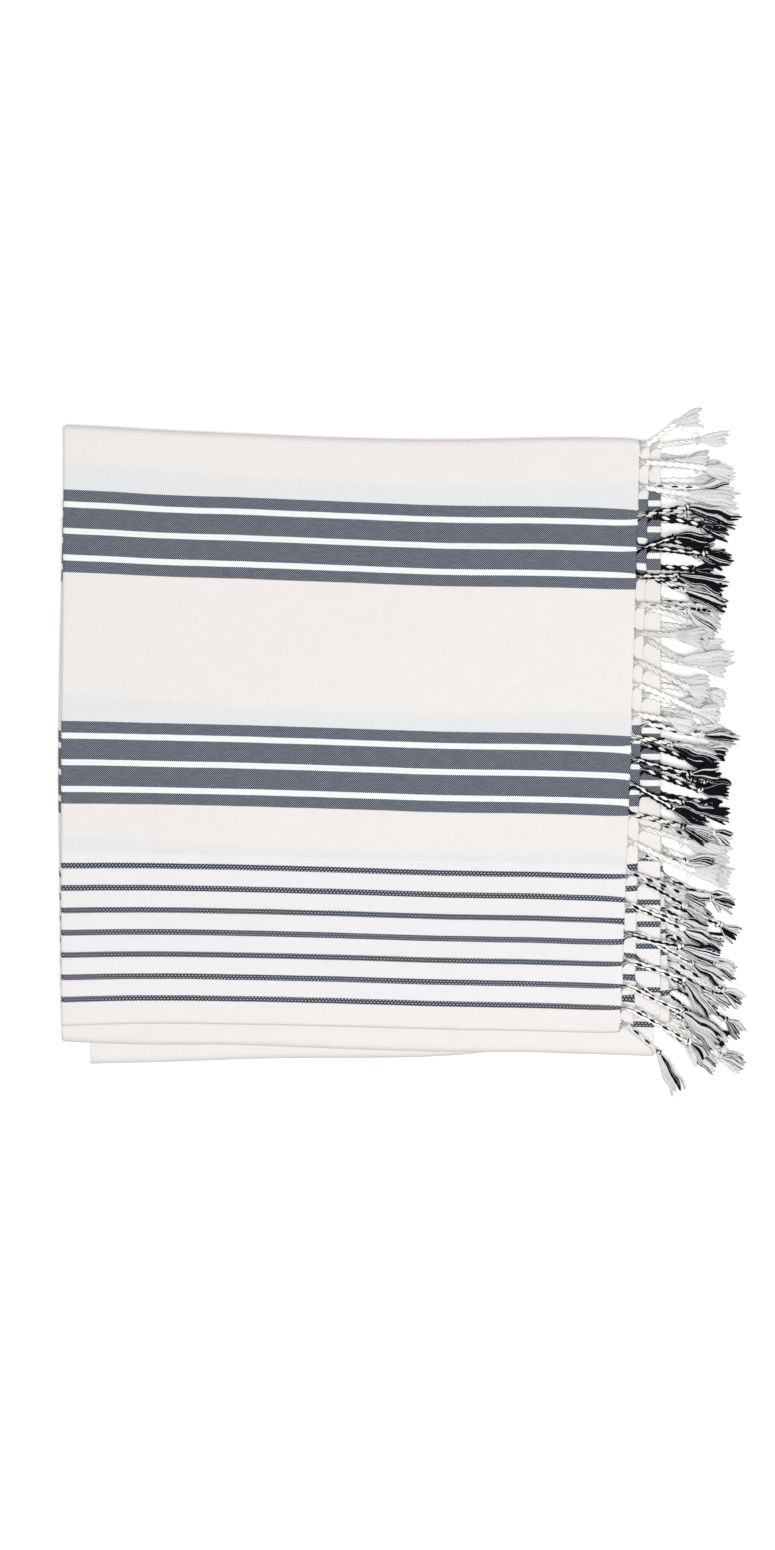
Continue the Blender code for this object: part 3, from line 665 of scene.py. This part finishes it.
# The heights on which strands come to lie, as a grid of cells seen from above
class Field:
    def __init__(self):
        x = np.arange(*laying["fieldX"], laying["cell"])
        y = np.arange(*laying["fieldY"], laying["cell"])
        self.x, self.y = np.meshgrid(x, y, indexing="ij")
        self.top = np.zeros(self.x.shape)

    def cells(self, course):
        half = course.fineWidth / 2 + laying["sideMargin"]
        across = np.linspace(-1, 1, laying["across"]) * half[:, None]
        x = course.x[:, None] + across * np.sin(course.angle)[:, None]
        y = course.y[:, None] + across * np.cos(course.angle)[:, None]
        column = np.clip((x - laying["fieldX"][0]) / laying["cell"] + 0.5, 0, self.x.shape[0] - 1)
        row = np.clip((y - laying["fieldY"][0]) / laying["cell"] + 0.5, 0, self.x.shape[1] - 1)
        return column.astype(int), row.astype(int)

    # The layers that the upper half's strands lie on, as far as their ends, folds and selvedges
    def layCloth(self):
        away = np.clip((foldCentre(self.x) - self.y) / (fold["width"] / 2), 0, 1)
        for line, half, level in (("endB", -1, 3), ("right", -1, 1), ("right", 1, 2), ("endB", 1, 3)):
            covered = self.x < lineX(line, half * away) + laying["cell"]
            covered &= self.y > selvedgeY(level, half, self.x) - laying["cell"]
            height = middleHeight + half * levelRadius(level)
            height = height - fold["pitch"] * sunkLayers(self.x, self.y, level, half)
            top = settled(self.x, self.y, height) + fold["solidThickness"] / 2
            self.top = np.where(covered, np.maximum(self.top, top), self.top)

    # Drops a strand on what lies there, with limited slopes, and adds it to the field
    def lay(self, course, rootZ, ceiling=None):
        rootBottom = rootZ - fold["solidThickness"] / 2
        column, row = self.cells(course)
        support = course.near(self.top[column, row].max(axis=1), np.max)
        bottom = np.where(support > 0, support + laying["clearance"], 0)
        if ceiling is not None:
            room = course.near(ceiling, np.min) - laying["clearance"] - bottom
            course.height = np.minimum(course.height, room)
        else:
            bottom = np.maximum(bottom, rootBottom - laying["steepest"] * course.at)
        gaps = laying["steepest"] * np.diff(course.at)
        for index in range(1, len(bottom)):
            bottom[index] = max(bottom[index], bottom[index - 1] - gaps[index - 1])
        for index in range(len(bottom) - 2, 0, -1):
            bottom[index] = max(bottom[index], bottom[index + 1] - gaps[index])
        top = np.interp(course.fine, course.at, bottom + course.height)
        np.maximum.at(self.top, (column, row), np.repeat(top[:, None], column.shape[1], axis=1))
        course.places = np.concatenate(([0], course.at))
        course.bottoms = np.concatenate(([rootBottom], bottom))
        course.heights = np.concatenate(([fold["solidThickness"]], course.height))


# The underside of the layers that still cover a strand of the under half as it comes out
def underCeiling(course, coversAbove):
    side = -np.clip((foldCentre(course.x) - course.y) / (fold["width"] / 2), 0, 1)
    ceiling = np.full(course.x.shape, 1000.0)
    for line, level in coversAbove:
        covered = course.x < lineX(line, side) + laying["cell"]
        underside = middleHeight - levelRadius(level) - fold["solidThickness"] / 2
        underside = underside - fold["pitch"] * sunkLayers(course.x, course.y, level, -1)
        ceiling = np.where(covered, np.minimum(ceiling, underside), ceiling)
    return ceiling


# Lays the four rows of strands one on the other, from the floor up, and notes for each strand how navy its
# two plies are, from the stripes above and below its root
def layFringes():
    field = Field()
    laid = {}
    rows = (
        ("A", "under", 4, underStrands("A"), (("right", 2), ("endB", 3))),
        ("B", "under", 3, underStrands("B"), (("right", 2),)),
        ("B", "upper", 3, upperStrandsB, None),
        ("A", "upper", 4, upperStrandsA, None),
    )
    for end, half, level, strands, covers in rows:
        line = "end" + end
        edge = columnSet(level, line, line, [0.0], [0.0], levelRadius(level), levelRadius(level))
        sign = 1.0 if half == "upper" else -1.0
        slip, upperDraw, underDraw = edge["lie"][0]
        flat = fold["width"] / 2 - sign * slip - quarterTurn * edge["radius"][0]
        reach = flat * (upperDraw if half == "upper" else underDraw)
        centreY = float(foldCentre(edge["x"][0, 2]))
        if (end, half) == ("B", "upper"):
            field.layCloth()
        courses = []
        for number, strand in enumerate(strands):
            share = (centreY - strand[0]) / reach
            rootX = float(lineX(line, sign * share))
            course = Course(strand, number, rootX)
            sunk = float(sunkLayers(np.array([rootX]), np.array([strand[0]]), level, sign)[0])
            rootZ = settled(rootX, strand[0], middleHeight + sign * edge["radius"][0] - fold["pitch"] * sunk)
            if half == "upper":
                rootZ -= clothLook["press"]
            field.lay(course, rootZ, covers and underCeiling(course, covers))
            w = flat * (1 - share)
            warps = np.linspace(0, laying["warpReach"], 30)
            course.navy = [float(np.mean(stripeChart(w + way * warps))) for way in (1, -1)]
            courses.append(course)
        laid[end, half] = courses
    return laid


cordLook = dict(
    width=4.7, plyRadius=1.42, helixRadius=0.95, twist=10.8, plyTwist=5.4, ringStep=0.75, sides=10,
    rootScale=0.72, rootLength=5.0, start=0.3, past=0.6, swell=0.04, swellLength=3.1, flatten=0.96,
)
knotLook = dict(
    length=4.2, turns=1.9, tubeRadius=1.2, loopRadius=1.95, sides=8, rings=34, width=6.3, past=0.4,
    slant=(0.5, 1.1), coreRings=12, coreLength=1.7, coreRadius=(0.6, 1.35), yarnLength=12.0,
)
tailLook = dict(
    yarns=54, radius=0.37, rings=10, sides=4, locks=(4, 7), wave=0.6, lockWave=(0.25, 0.55), fineWave=0.07,
    ragged=0.16, point=0.07, draw=0.4, widen=1.35, bodyRings=9, bodySides=22, bodyTone=0.2,
    start=1.2, short=1.0, neck=1.5, opening=4.5, rise=2.2,
)
gatherLook = dict(yarns=12, spread=5.0, neck=0.9, start=-0.5, length=6.0, radius=0.36, rings=6)
strayLook = dict(
    chance=0.6, radius=0.3, rings=14, sides=4, start=(-7.0, 1.0), reach=(4.0, 9.0), bulge=(2.5, 5.5),
    lift=1.2,
)
upward = np.array([0.0, 0.0, 1.0])
nearFloor = 0.05  # no yarn comes lower than this above what its strand lies on
# A yarn of one colour has a navy share past 0 or 1, so that the wobble of the edge leaves it plain
plainWhite, plainNavy = -0.1, 1.1


# Rings round centre lines: at each point the ring lies in the plane of the outward direction and of its
# cross product with the tangent. All arrays are tubes x rings x 3, in the strand's straight frame.
def ringsRound(centres, outward, radius, sides, flatten=1.0):
    tangent = np.gradient(centres, axis=1)
    tangent /= np.linalg.norm(tangent, axis=-1, keepdims=True)
    second = np.cross(tangent, outward)
    second /= np.linalg.norm(second, axis=-1, keepdims=True)
    first = np.cross(second, tangent)
    angle = np.arange(sides) * (2 * math.pi / sides)
    radius = np.broadcast_to(radius, centres.shape[:2])[..., None, None]
    outer = np.cos(angle)[:, None] * flatten * first[..., None, :]
    return centres[..., None, :] + radius * (outer + np.sin(angle)[:, None] * second[..., None, :])


# Two plies wound round each other: each ply's centre is a helix, half a turn from the other
def addCord(surfaces, course, rng):
    look = cordLook
    length = course.cord + look["past"]
    along = np.linspace(look["start"], length, int(length / look["ringStep"]))
    phase = 2 * math.pi * along / look["twist"] + rng.uniform(0, 2 * math.pi) + np.array([[0], [math.pi]])
    scale = np.interp(along, (0, look["rootLength"]), (look["rootScale"], 1))
    scale = scale * (1 + look["swell"] * np.sin(along / look["swellLength"] + course.number))
    outward = np.stack([np.zeros_like(phase), np.cos(phase), np.sin(phase)], axis=-1)
    centres = outward * (look["helixRadius"] * scale)[:, None]
    centres[..., 0] = along
    rings = ringsRound(centres, outward, look["plyRadius"] * scale, look["sides"], look["flatten"])
    points = course.wrap(rings, look["width"])
    # the scarcer colour of a ply lies uppermost where the ply crosses over: the thread count is shifted so
    # that the middle of that colour's sector meets the middle of each crossing
    share = np.array(course.navy)
    middle = np.where(share < 0.5, share / 2, (1 + share) / 2) + rng.uniform(-0.1, 0.1, 2)
    crossing = (math.pi / 2 - phase[:, 0]) / (2 * math.pi) * look["twist"] + along[0]
    shift = look["plyTwist"] * middle - crossing
    share = np.where(share < 0.04, plainWhite, np.where(share > 0.96, plainNavy, share))
    navy = np.repeat(share, len(along) * look["sides"])
    surfaces.tubes(points, (along + shift[:, None]) * mm, dict(navy=navy, tone=rng.uniform(0, 1), loose=0.0))


# The cord drawn into a knot: a plump core, and a thick loop wound round it as a slanted helix
def addKnot(surfaces, course, rng):
    look = knotLook
    middle = course.cord + look["past"]
    t = np.linspace(0, 1, look["rings"])
    phase = 2 * math.pi * look["turns"] * t + rng.uniform(0, 2 * math.pi)
    slant = rng.uniform(*look["slant"])
    swell = np.sin(math.pi * np.clip(t * 1.06 - 0.03, 0.02, 1)) ** 0.35
    outward = np.stack([np.zeros_like(phase), np.cos(phase), np.sin(phase)], axis=-1)[None]
    centres = outward * (look["loopRadius"] * swell)[:, None]
    centres[..., 0] = middle + (t - 0.5) * look["length"] + slant * np.cos(phase)
    rings = ringsRound(centres, outward, look["tubeRadius"] * (0.55 + 0.45 * swell), look["sides"])
    points = course.wrap(rings, look["width"])
    tone = rng.uniform(0, 1)
    values = dict(navy=course.navy[course.number % 2], tone=tone, loose=0.0)
    surfaces.tubes(points, (t * look["turns"] * look["yarnLength"] * mm)[None], values)
    coreT = np.linspace(0, 1, look["coreRings"])
    coreAlong = middle + (coreT - 0.45) * look["length"] * look["coreLength"]
    least, more = look["coreRadius"]
    coreRadius = least + more * np.sin(math.pi * (0.12 + 0.76 * coreT))
    centres = np.zeros((1, len(coreT), 3))
    centres[0, :, 0] = coreAlong
    rings = ringsRound(centres, upward, coreRadius, look["sides"])
    points = course.wrap(rings, look["width"])
    surfaces.tubes(points, coreAlong[None] * mm, dict(navy=np.mean(course.navy), tone=tone, loose=0.0))


# Yarns of one colour each round their centre lines (yarns x rings x 3)
def addYarns(surfaces, course, centres, along, radius, sides, look, loose=1.0, scaled=False):
    rings = ringsRound(centres, upward, radius, sides)
    points = course.bend(rings[..., 0], rings[..., 1], np.maximum(rings[..., 2], nearFloor), scaled)
    values = {key: np.repeat(value, centres.shape[1] * sides) for key, value in look.items()}
    surfaces.tubes(points, along * mm, dict(values, loose=loose))


# A tail's yarns fall into locks: each yarn's share across the tail, its lock, the middle of that lock and the
# yarn's share across it
def tailLocks(rng):
    across = np.linspace(-1, 1, tailLook["yarns"])
    count = int(rng.integers(*tailLook["locks"]))
    bounds = np.linspace(-1, 1, count + 1) + np.pad(rng.uniform(-0.3, 0.3, count - 1) / count, 1)
    lock = np.clip(np.searchsorted(bounds, across) - 1, 0, count - 1)
    middle = (bounds[:-1] + bounds[1:])[lock] / 2
    within = (across - middle) / (np.diff(bounds)[lock] / 2)
    return across, count, lock, middle, within


# Half a tail's width: it opens from a neck at the knot and widens a little beyond the strand's own width
def tailHalf(course, along, start):
    look = tailLook
    half = np.interp(along, course.at, course.width) / 2
    half = half * np.interp(along, (course.cord + 2, course.cord + 9), (1.0, look["widen"]))
    neck = look["neck"] + (half - look["neck"]) * np.clip((along - start) / look["opening"], 0, 1)
    return np.where(along < course.cord + 5, neck, half)


# A tail looks a little more even than its stripes
def tailNavy(share):
    return share ** 0.62 if share < 0.5 else 1 - (1 - share) ** 1.25


# The untwisted tail: a flared brush of yarns over a flattened body. The yarns lie side by side over a dome,
# z = height (.4 + .6 sqrt(1 - .85 s^2)) at the share s across, in locks with domes, waves, lengths and
# colours of their own, drawn together toward the lock's middle at the end
def addTail(surfaces, course, rng):
    look = tailLook
    across, count, lock, middle, within = tailLocks(rng)
    share = float(np.mean(course.navy))
    mixed = min(1.0, 4 * share * (1 - share) + 0.3 * (share > 0.5))
    lockWave = look["lockWave"][0] + (look["lockWave"][1] - look["lockWave"][0]) * mixed
    reach = 1 - look["ragged"] * rng.uniform(0, 1, count)[lock] - look["point"] * within ** 2
    reach = reach + rng.uniform(-0.02, 0.02, len(lock))
    start = course.cord + look["start"]
    length = course.tail - look["short"]
    t = np.linspace(0, 1, look["rings"])
    grow = np.clip(t * look["rise"], 0, 1)
    along = start + t * (length * reach)[:, None]
    period, phase = rng.uniform(14, 24), rng.uniform(0, 6)

    # the wave of the whole tail
    def swing(along, grow):
        return grow * look["wave"] * np.sin(2 * math.pi * along / period + phase)

    lateral = across[:, None] - (across - middle)[:, None] * look["draw"] * t ** 4
    lateral = lateral * (tailHalf(course, along, start) - look["radius"]) + swing(along, grow)
    lockPeriod, lockPhase = (rng.uniform(*ends, count)[lock][:, None] for ends in ((2.4, 4.2), (0, 6)))
    lateral = lateral + grow * lockWave * np.sin(along / lockPeriod + lockPhase)
    lateral = lateral + grow * look["fineWave"] * np.sin(along / 1.9 + rng.uniform(0, 6, len(lock))[:, None])
    height = np.interp(along, course.places, course.heights)
    radius = look["radius"] * rng.uniform(0.85, 1.15, len(lock))[:, None] * (1 - 0.45 * t ** 5)
    dome = 0.4 + 0.6 * np.sqrt(1 - 0.85 * across ** 2)
    dome = dome * (0.72 + 0.28 * np.sqrt(np.clip(1 - within ** 2, 0, 1))) * rng.uniform(0.8, 1.1, count)[lock]
    z = radius + (height - 2 * radius) * (dome[:, None] * grow + 0.5 * (1 - grow))
    z = z + rng.uniform(-0.1, 0.1, len(lock))[:, None]
    # the yarns with the lowest marks are navy: a lock's yarns have marks close to one another
    marks = rng.permutation(count)[lock] / count
    marks = marks + 0.28 * np.sin(within * rng.uniform(3, 7) + rng.uniform(0, 6))
    marks = marks + 0.12 * rng.standard_normal(len(lock))
    rank = np.argsort(np.argsort(marks)) / len(lock)
    navy = np.where(rank < tailNavy(share), plainNavy, plainWhite)
    tone = rng.uniform(0, 0.5, count)[lock] + rng.uniform(0, 0.5, len(lock))
    centres = np.stack([along, lateral, z], axis=-1)
    addYarns(surfaces, course, centres, along, radius, look["sides"], dict(navy=navy, tone=tone))
    # the body: a flat tube beneath the yarns, with the colours of the yarns above it
    t = np.linspace(0, 1, look["bodyRings"])
    along = start + t * length * (0.94 - look["ragged"])
    half = tailHalf(course, along, start) * (0.95 - 0.25 * t ** 4)
    height = np.interp(along, course.places, course.heights)
    centres = np.stack([along, swing(along, np.clip(t * look["rise"], 0, 1)), 0.36 * height], axis=-1)[None]
    rings = ringsRound(centres, upward, half, look["bodySides"], (0.3 * height / half)[None, :, None, None])
    points = course.bend(rings[..., 0], rings[..., 1], np.maximum(rings[..., 2], nearFloor), scaled=False)
    place = (rings[..., 1] - centres[..., None, 1]) / half[None, :, None]
    body = np.interp(place, across, navy).ravel()
    surfaces.tubes(points, along[None] * mm, dict(navy=body, tone=look["bodyTone"], loose=1.0))


# The warp ends that run together from the cloth's edge into the cord: their spread narrows by a power of the
# distance left
def addGather(surfaces, course, rng):
    look = gatherLook
    count = look["yarns"]
    across = np.linspace(-1, 1, count) + rng.uniform(-0.06, 0.06, count)
    t = np.linspace(0, 1, look["rings"])
    along = look["start"] + np.abs(across)[:, None] * 0.2 + t * look["length"]
    lateral = across[:, None] * (look["neck"] + (look["spread"] - look["neck"]) * (1 - t) ** 2.2)
    z = 0.62 + 0.12 * rng.uniform(-1, 1, count)[:, None] + 0 * t
    radius = look["radius"] * np.broadcast_to(0.75 + 0.5 * t, along.shape)
    # the lower ends of the fan come from the stripes below the root
    plies = np.where(across > 0, course.navy[0], course.navy[1])
    navy = np.where(rng.uniform(0, 1, count) < plies, plainNavy, plainWhite)
    colours = dict(navy=navy, tone=rng.uniform(0, 1, count))
    addYarns(surfaces, course, np.stack([along, lateral, z], axis=-1), along, radius, 4, colours, 0.3, True)


# A yarn that has slipped out of the knot: an arch to one side that comes back to the strand
def addStray(surfaces, course, rng):
    look = strayLook
    if rng.uniform() > look["chance"]:
        return
    t = np.linspace(0, 1, look["rings"])
    start = course.cord + rng.uniform(*look["start"])
    along = start + rng.uniform(*look["reach"]) * t + 0.8 * np.sin(2 * math.pi * t + rng.uniform(0, 6))
    lateral = rng.choice((-1, 1)) * (1.2 + rng.uniform(*look["bulge"]) * np.sin(math.pi * t) ** 1.3)
    z = 0.75 * np.interp(along, course.places, course.heights) + look["lift"] * np.sin(math.pi * t)
    centres = np.stack([along, lateral, z], axis=-1)[None]
    navy = plainNavy if rng.uniform() < np.mean(course.navy) else plainWhite
    colours = dict(navy=navy, tone=rng.uniform(0, 1))
    addYarns(surfaces, course, centres, along[None], look["radius"], look["sides"], colours)


def makeFringe(name, courses, node, material, seed):
    rng = np.random.default_rng(seed)
    surfaces = Surfaces()
    for course in courses:
        addGather(surfaces, course, rng)
        addCord(surfaces, course, rng)
        addKnot(surfaces, course, rng)
        addTail(surfaces, course, rng)
        addStray(surfaces, course, rng)
    piece = surfaces.build(name, material)
    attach(piece, "root")
    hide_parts(node)
    return piece


yarnLook = dict(
    white=tint(0.88, 0.865, 0.845),
    # the loose yarns' white is the cords' white painted darker and cooler: painted shade within the loose
    # tails and fans
    shadedLooseWhite=tint(0.68, 0.685, 0.70),
    navy=tint(0.003, 0.004, 0.008),
    roughness=0.85,
)


def yarnMaterial():
    yarn = Shader("fringeYarn")
    around, along = yarn.uv()
    navy, tone, loose = (yarn.attribute(name) for name in ("navy", "tone", "loose"))
    # a ply's colours are sectors that wind round it; a loose yarn is of one colour
    sector = (around + along * (1000.0 / cordLook["plyTwist"])).fraction()
    wobble = yarn.noise(yarn.vector(around * 2.0, along * 400.0), 1.0, 1.0)
    edge = sector + (wobble - 0.5) * 0.12 - navy
    navyHere = edge.step(0.02, -0.02)
    # loose yarns take the darker white as painted shade; the gather's fans take part of it
    white = yarn.mix(loose, yarnLook["white"], yarnLook["shadedLooseWhite"])
    # yarns of a ply lie side by side with grooves between them, and loose yarns have a fine twist
    plyLines = ((around + along * 90.0) * (2 * math.pi * 5)).sine()
    looseLines = ((around + along * 260.0 + tone * 9.0) * (2 * math.pi)).sine()
    lines = plyLines * (1 - loose) + looseLines * (loose * 0.6)
    fibre = yarn.noise(yarn.vector(around * 6.0, along * 500.0 + tone * 80.0), 1.0, 2.0)
    # the lines term paints shade into the grooves between yarns; tone and fibre vary the colour at random
    level = 0.76 + 0.05 * lines + 0.34 * tone + 0.06 * fibre
    colour = yarn.shaded(yarn.mix(navyHere, white, yarnLook["navy"]), level)
    yarn.evenly(Sheen_Weight=0.03, Sheen_Roughness=0.5, Specular_IOR_Level=0.08)
    relief = yarn.bump(lines + fibre, 0.00016)
    return yarn.finish(Base_Color=colour, Roughness=yarnLook["roughness"], Normal=relief)


clothLook = dict(
    thickness=0.6,
    topSteps=61, layerSteps=35, lastSteps=38, endSteps=7, endZone=12.0, layerLength=430.0,
    leftSteps=13, rightSteps=9,
    upperStations=142, underStations=70, foldStations=16,
    scallop=2.6, scallopHalf=10.5, scallopReach=5.0, pull=0.55, pullReach=7.0,
    press=0.15, pressReach=3.0,  # edges lie close on the layer beneath
    thinEdge=0.7, thinReach=2.5,  # and are thinner
    pinch=(296.0, 11.0), pinchSize=(9.0, 6.0), pinchHeight=1.7,  # a small raised place on the upper selvedge
)
showLook = dict(strengths=((3, 0.62), (2, 0.38)), blur=5.0, contrast=4.5)  # layers and their strengths


# Shares along a layer: even steps, with short ones within the end zone at the start or the end
def layerShares(steps, endAt=None):
    share = np.linspace(0, 1, steps + 1)
    if endAt is None:
        return share
    zone = clothLook["endZone"] / clothLook["layerLength"]
    close = np.linspace(0, zone, clothLook["endSteps"], endpoint=False)
    share = np.concatenate([close, np.linspace(zone, 1, steps + 1)])
    return share if endAt == "start" else (1 - share)[::-1]


def clothColumns():
    outer, inner = turnInset(4, 1), turnInset(1, 2)
    sets = [
        layerColumns(4, 0.0, 4, outer, 1, layerShares(clothLook["topSteps"], "start")),
        turnColumns("leftOuter", -1, 4, 1, clothLook["leftSteps"]),
        layerColumns(1, outer, 4, -inner, 2, layerShares(clothLook["layerSteps"])),
        turnColumns("right", 1, 1, 2, clothLook["rightSteps"]),
        layerColumns(2, -inner, 1, inner, 3, layerShares(clothLook["layerSteps"])),
        turnColumns("leftInner", -1, 2, 3, clothLook["rightSteps"]),
        layerColumns(3, inner, 2, 0.0, 3, layerShares(clothLook["lastSteps"], "end")),
    ]
    return joinColumns(sets), len(sets[0]["radius"])


# Draws an end of the cloth out and together at the strands' roots: X grows by a parabola of the distance
# from the nearest root, Y moves toward it, and both fade away from the end
def gatherEnd(x, y, inward, rootsBySide, side):
    for half, roots in rootsBySide:
        roots = np.asarray(roots, float)
        chosen = (side * half >= 0)[None, :] & np.ones_like(x, bool)
        away = y[..., None] - roots
        nearest = np.take_along_axis(away, np.abs(away).argmin(axis=-1)[..., None], axis=-1)[..., 0]
        share = np.clip(np.abs(nearest) / clothLook["scallopHalf"], 0, 1)
        drawn = clothLook["scallop"] * (1 - share) ** 2 * np.exp(-(inward / clothLook["scallopReach"]) ** 2)
        together = -nearest * (1 - share) * clothLook["pull"] * np.exp(-inward / clothLook["pullReach"])
        x = np.where(chosen, x + drawn, x)
        y = np.where(chosen, y + together, y)
    return x, y


# How strongly the stripes of the second and third layer show through the outermost one
def showThrough(x, y):
    look = showLook
    seen = np.zeros(x.shape)
    down = foldCentre(x) - y
    for level, strength in look["strengths"]:
        lie = lieSeen(level, down / (fold["width"] / 2), x)
        flat = fold["width"] / 2 - lie[..., 0] - quarterTurn * levelRadius(level)
        seen += strength * blurredChart(flat - down / lie[..., 1], look["blur"])
    return 1 - np.exp(-look["contrast"] * seen)


def makeCloth(laid, material):
    columns, topCount = clothColumns()
    look = clothLook
    upper = np.linspace(0, 1, look["upperStations"] + 1)[1:]
    under = np.linspace(-1, 0, look["underStations"] + 1)[:-1]
    arc = np.linspace(-quarterTurn, quarterTurn, look["foldStations"] + 1)
    side = np.concatenate([under, 0 * arc, upper])
    turn = np.concatenate([0 * under - quarterTurn, arc, 0 * upper + quarterTurn])
    x, y, z, v = foldedGrid(columns, side, turn)
    step = np.linalg.norm(np.diff(np.stack([x, y, z], axis=-1), axis=0), axis=-1).mean(axis=1)
    u = np.concatenate(([0], np.cumsum(step)))
    fromEnd = np.minimum(u, u[-1] - u)[:, None]
    fromSelvedge = np.minimum(v, fold["width"] - v)
    level = columns["level"][:, None]
    places = zip((x, y), look["pinch"], look["pinchSize"])
    pinched = np.exp(-sum(((at - middle) / size) ** 2 for at, middle, size in places))
    z = z + look["pinchHeight"] * pinched * (np.arange(len(u)) < topCount)[:, None] * (side > 0)
    pressed = np.exp(-(fromSelvedge / look["pressReach"]) ** 2) * ((side > 0) | (level < fold["levels"]))
    pressed = np.maximum(pressed, np.exp(-(fromEnd / look["pressReach"]) ** 2) * (side > 0))
    z = np.maximum(z - look["press"] * pressed, look["thickness"] / 2)
    for end, inward in (("A", u[:, None]), ("B", u[-1] - u[:, None])):
        roots = [(1, [c.y[0] for c in laid[end, "upper"]]), (-1, [c.y[0] for c in laid[end, "under"]])]
        x, y = gatherEnd(x, y, inward, roots, side)
    onTop = (np.arange(len(u)) < topCount)[:, None] & (turn > 0.5)[None, :]
    beneath = np.where(onTop, showThrough(x, y), 0)
    surfaces = Surfaces()
    along = np.broadcast_to(u[:, None], v.shape)
    surfaces.grid(placed(x, y, z), along * mm, v * mm, dict(beneath=beneath.ravel()))
    piece = surfaces.build("towelCloth", material)
    solidify = piece.modifiers.new("thickness", "SOLIDIFY")
    solidify.thickness = look["thickness"] * mm
    solidify.offset = 0.0
    fromEdge = np.minimum(fromEnd, fromSelvedge)
    full = look["thinEdge"] + (1 - look["thinEdge"]) * (1 - np.exp(-(fromEdge / look["thinReach"]) ** 2))
    fullness = np.round(full.ravel() * 20) / 20
    group = piece.vertex_groups.new(name="fullness")
    for value in np.unique(fullness):
        group.add(np.flatnonzero(fullness == value).tolist(), float(value), "REPLACE")
    solidify.vertex_group = "fullness"
    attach(piece, "root")
    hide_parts("cloth")
    return piece


picture = dict(
    widthPx=775, heightPx=1550, mmPerPx=0.739, originPx=(62.0, 1042.0), towelTop=10.5, lens=85.0, film=36.0,
)


def makeCamera():
    data = bpy.data.cameras.new("camera")
    data.lens = picture["lens"]
    data.sensor_width = picture["film"]
    data.clip_end = 50.0
    camera = bpy.data.objects.new("camera", data)
    bpy.context.scene.collection.objects.link(camera)
    seenHeight = picture["heightPx"] * picture["mmPerPx"]
    distance = seenHeight * picture["lens"] / picture["film"]
    x = (picture["widthPx"] / 2 - picture["originPx"][0]) * picture["mmPerPx"]
    y = (picture["originPx"][1] - picture["heightPx"] / 2) * picture["mmPerPx"]
    camera.location = placed(x, y, distance + picture["towelTop"])
    bpy.context.scene.camera = camera


studio = dict(
    floorHalf=6.0, floorHeight=-0.0003, floorTint=tint(0.99, 0.99, 0.99), world=0.34,
    lamps=(  # place, size and power; each points at the towel
        ((0.05, -0.25, 3.6), 2.2, 102.0),
        ((1.5, -1.1, 2.8), 1.4, 26.0),
    ),
)


def makeStudio():
    h, z = studio["floorHalf"], studio["floorHeight"]
    mesh = bpy.data.meshes.new("floor")
    mesh.from_pydata([(-h, -h, z), (h, -h, z), (h, h, z), (-h, h, z)], [], [(0, 1, 2, 3)])
    paper = Shader("paper")
    grain = paper.noise(Wire(paper, paper.node("ShaderNodeTexCoord").outputs["Object"]), 30.0)
    relief = paper.bump(grain, 0.00005)
    mesh.materials.append(paper.finish(Base_Color=studio["floorTint"], Roughness=0.9, Normal=relief))
    floor = bpy.data.objects.new("floor", mesh)
    bpy.context.scene.collection.objects.link(floor)
    for number, (place, size, power) in enumerate(studio["lamps"]):
        light = bpy.data.lights.new(f"lamp{number}", "AREA")
        light.shape = "DISK"
        light.size = size
        light.energy = power
        lamp = bpy.data.objects.new(f"lamp{number}", light)
        lamp.location = place
        lamp.rotation_euler = Vector(place).to_track_quat("Z", "Y").to_euler()
        bpy.context.scene.collection.objects.link(lamp)
    world = bpy.data.worlds.new("studio")
    world.use_nodes = True
    world.node_tree.nodes["Background"].inputs["Color"].default_value = tint(1.0, 1.0, 1.0)
    world.node_tree.nodes["Background"].inputs["Strength"].default_value = studio["world"]
    bpy.context.scene.world = world
    bpy.context.scene.view_settings.view_transform = "Standard"


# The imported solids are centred. The cloth's solid reaches X 446.8 at end B and Y 456.7 at the top fold.
shiftX = clothHigh.x - 446.8 * mm
shiftY = clothHigh.y - 456.7 * mm
print("towel's own frame is shifted by", shiftX, shiftY)

makeCamera()
makeStudio()
print("laying the strands")
laid = layFringes()
cloth = makeCloth(laid, clothMaterial())
yarn = yarnMaterial()
for seed, (end, half) in enumerate((("A", "upper"), ("A", "under"), ("B", "upper"), ("B", "under"))):
    node = "fringe_a" if end == "A" else "fringe_b"
    makeFringe(half + "Fringe" + end, laid[end, half], node, yarn, 41 + seed)
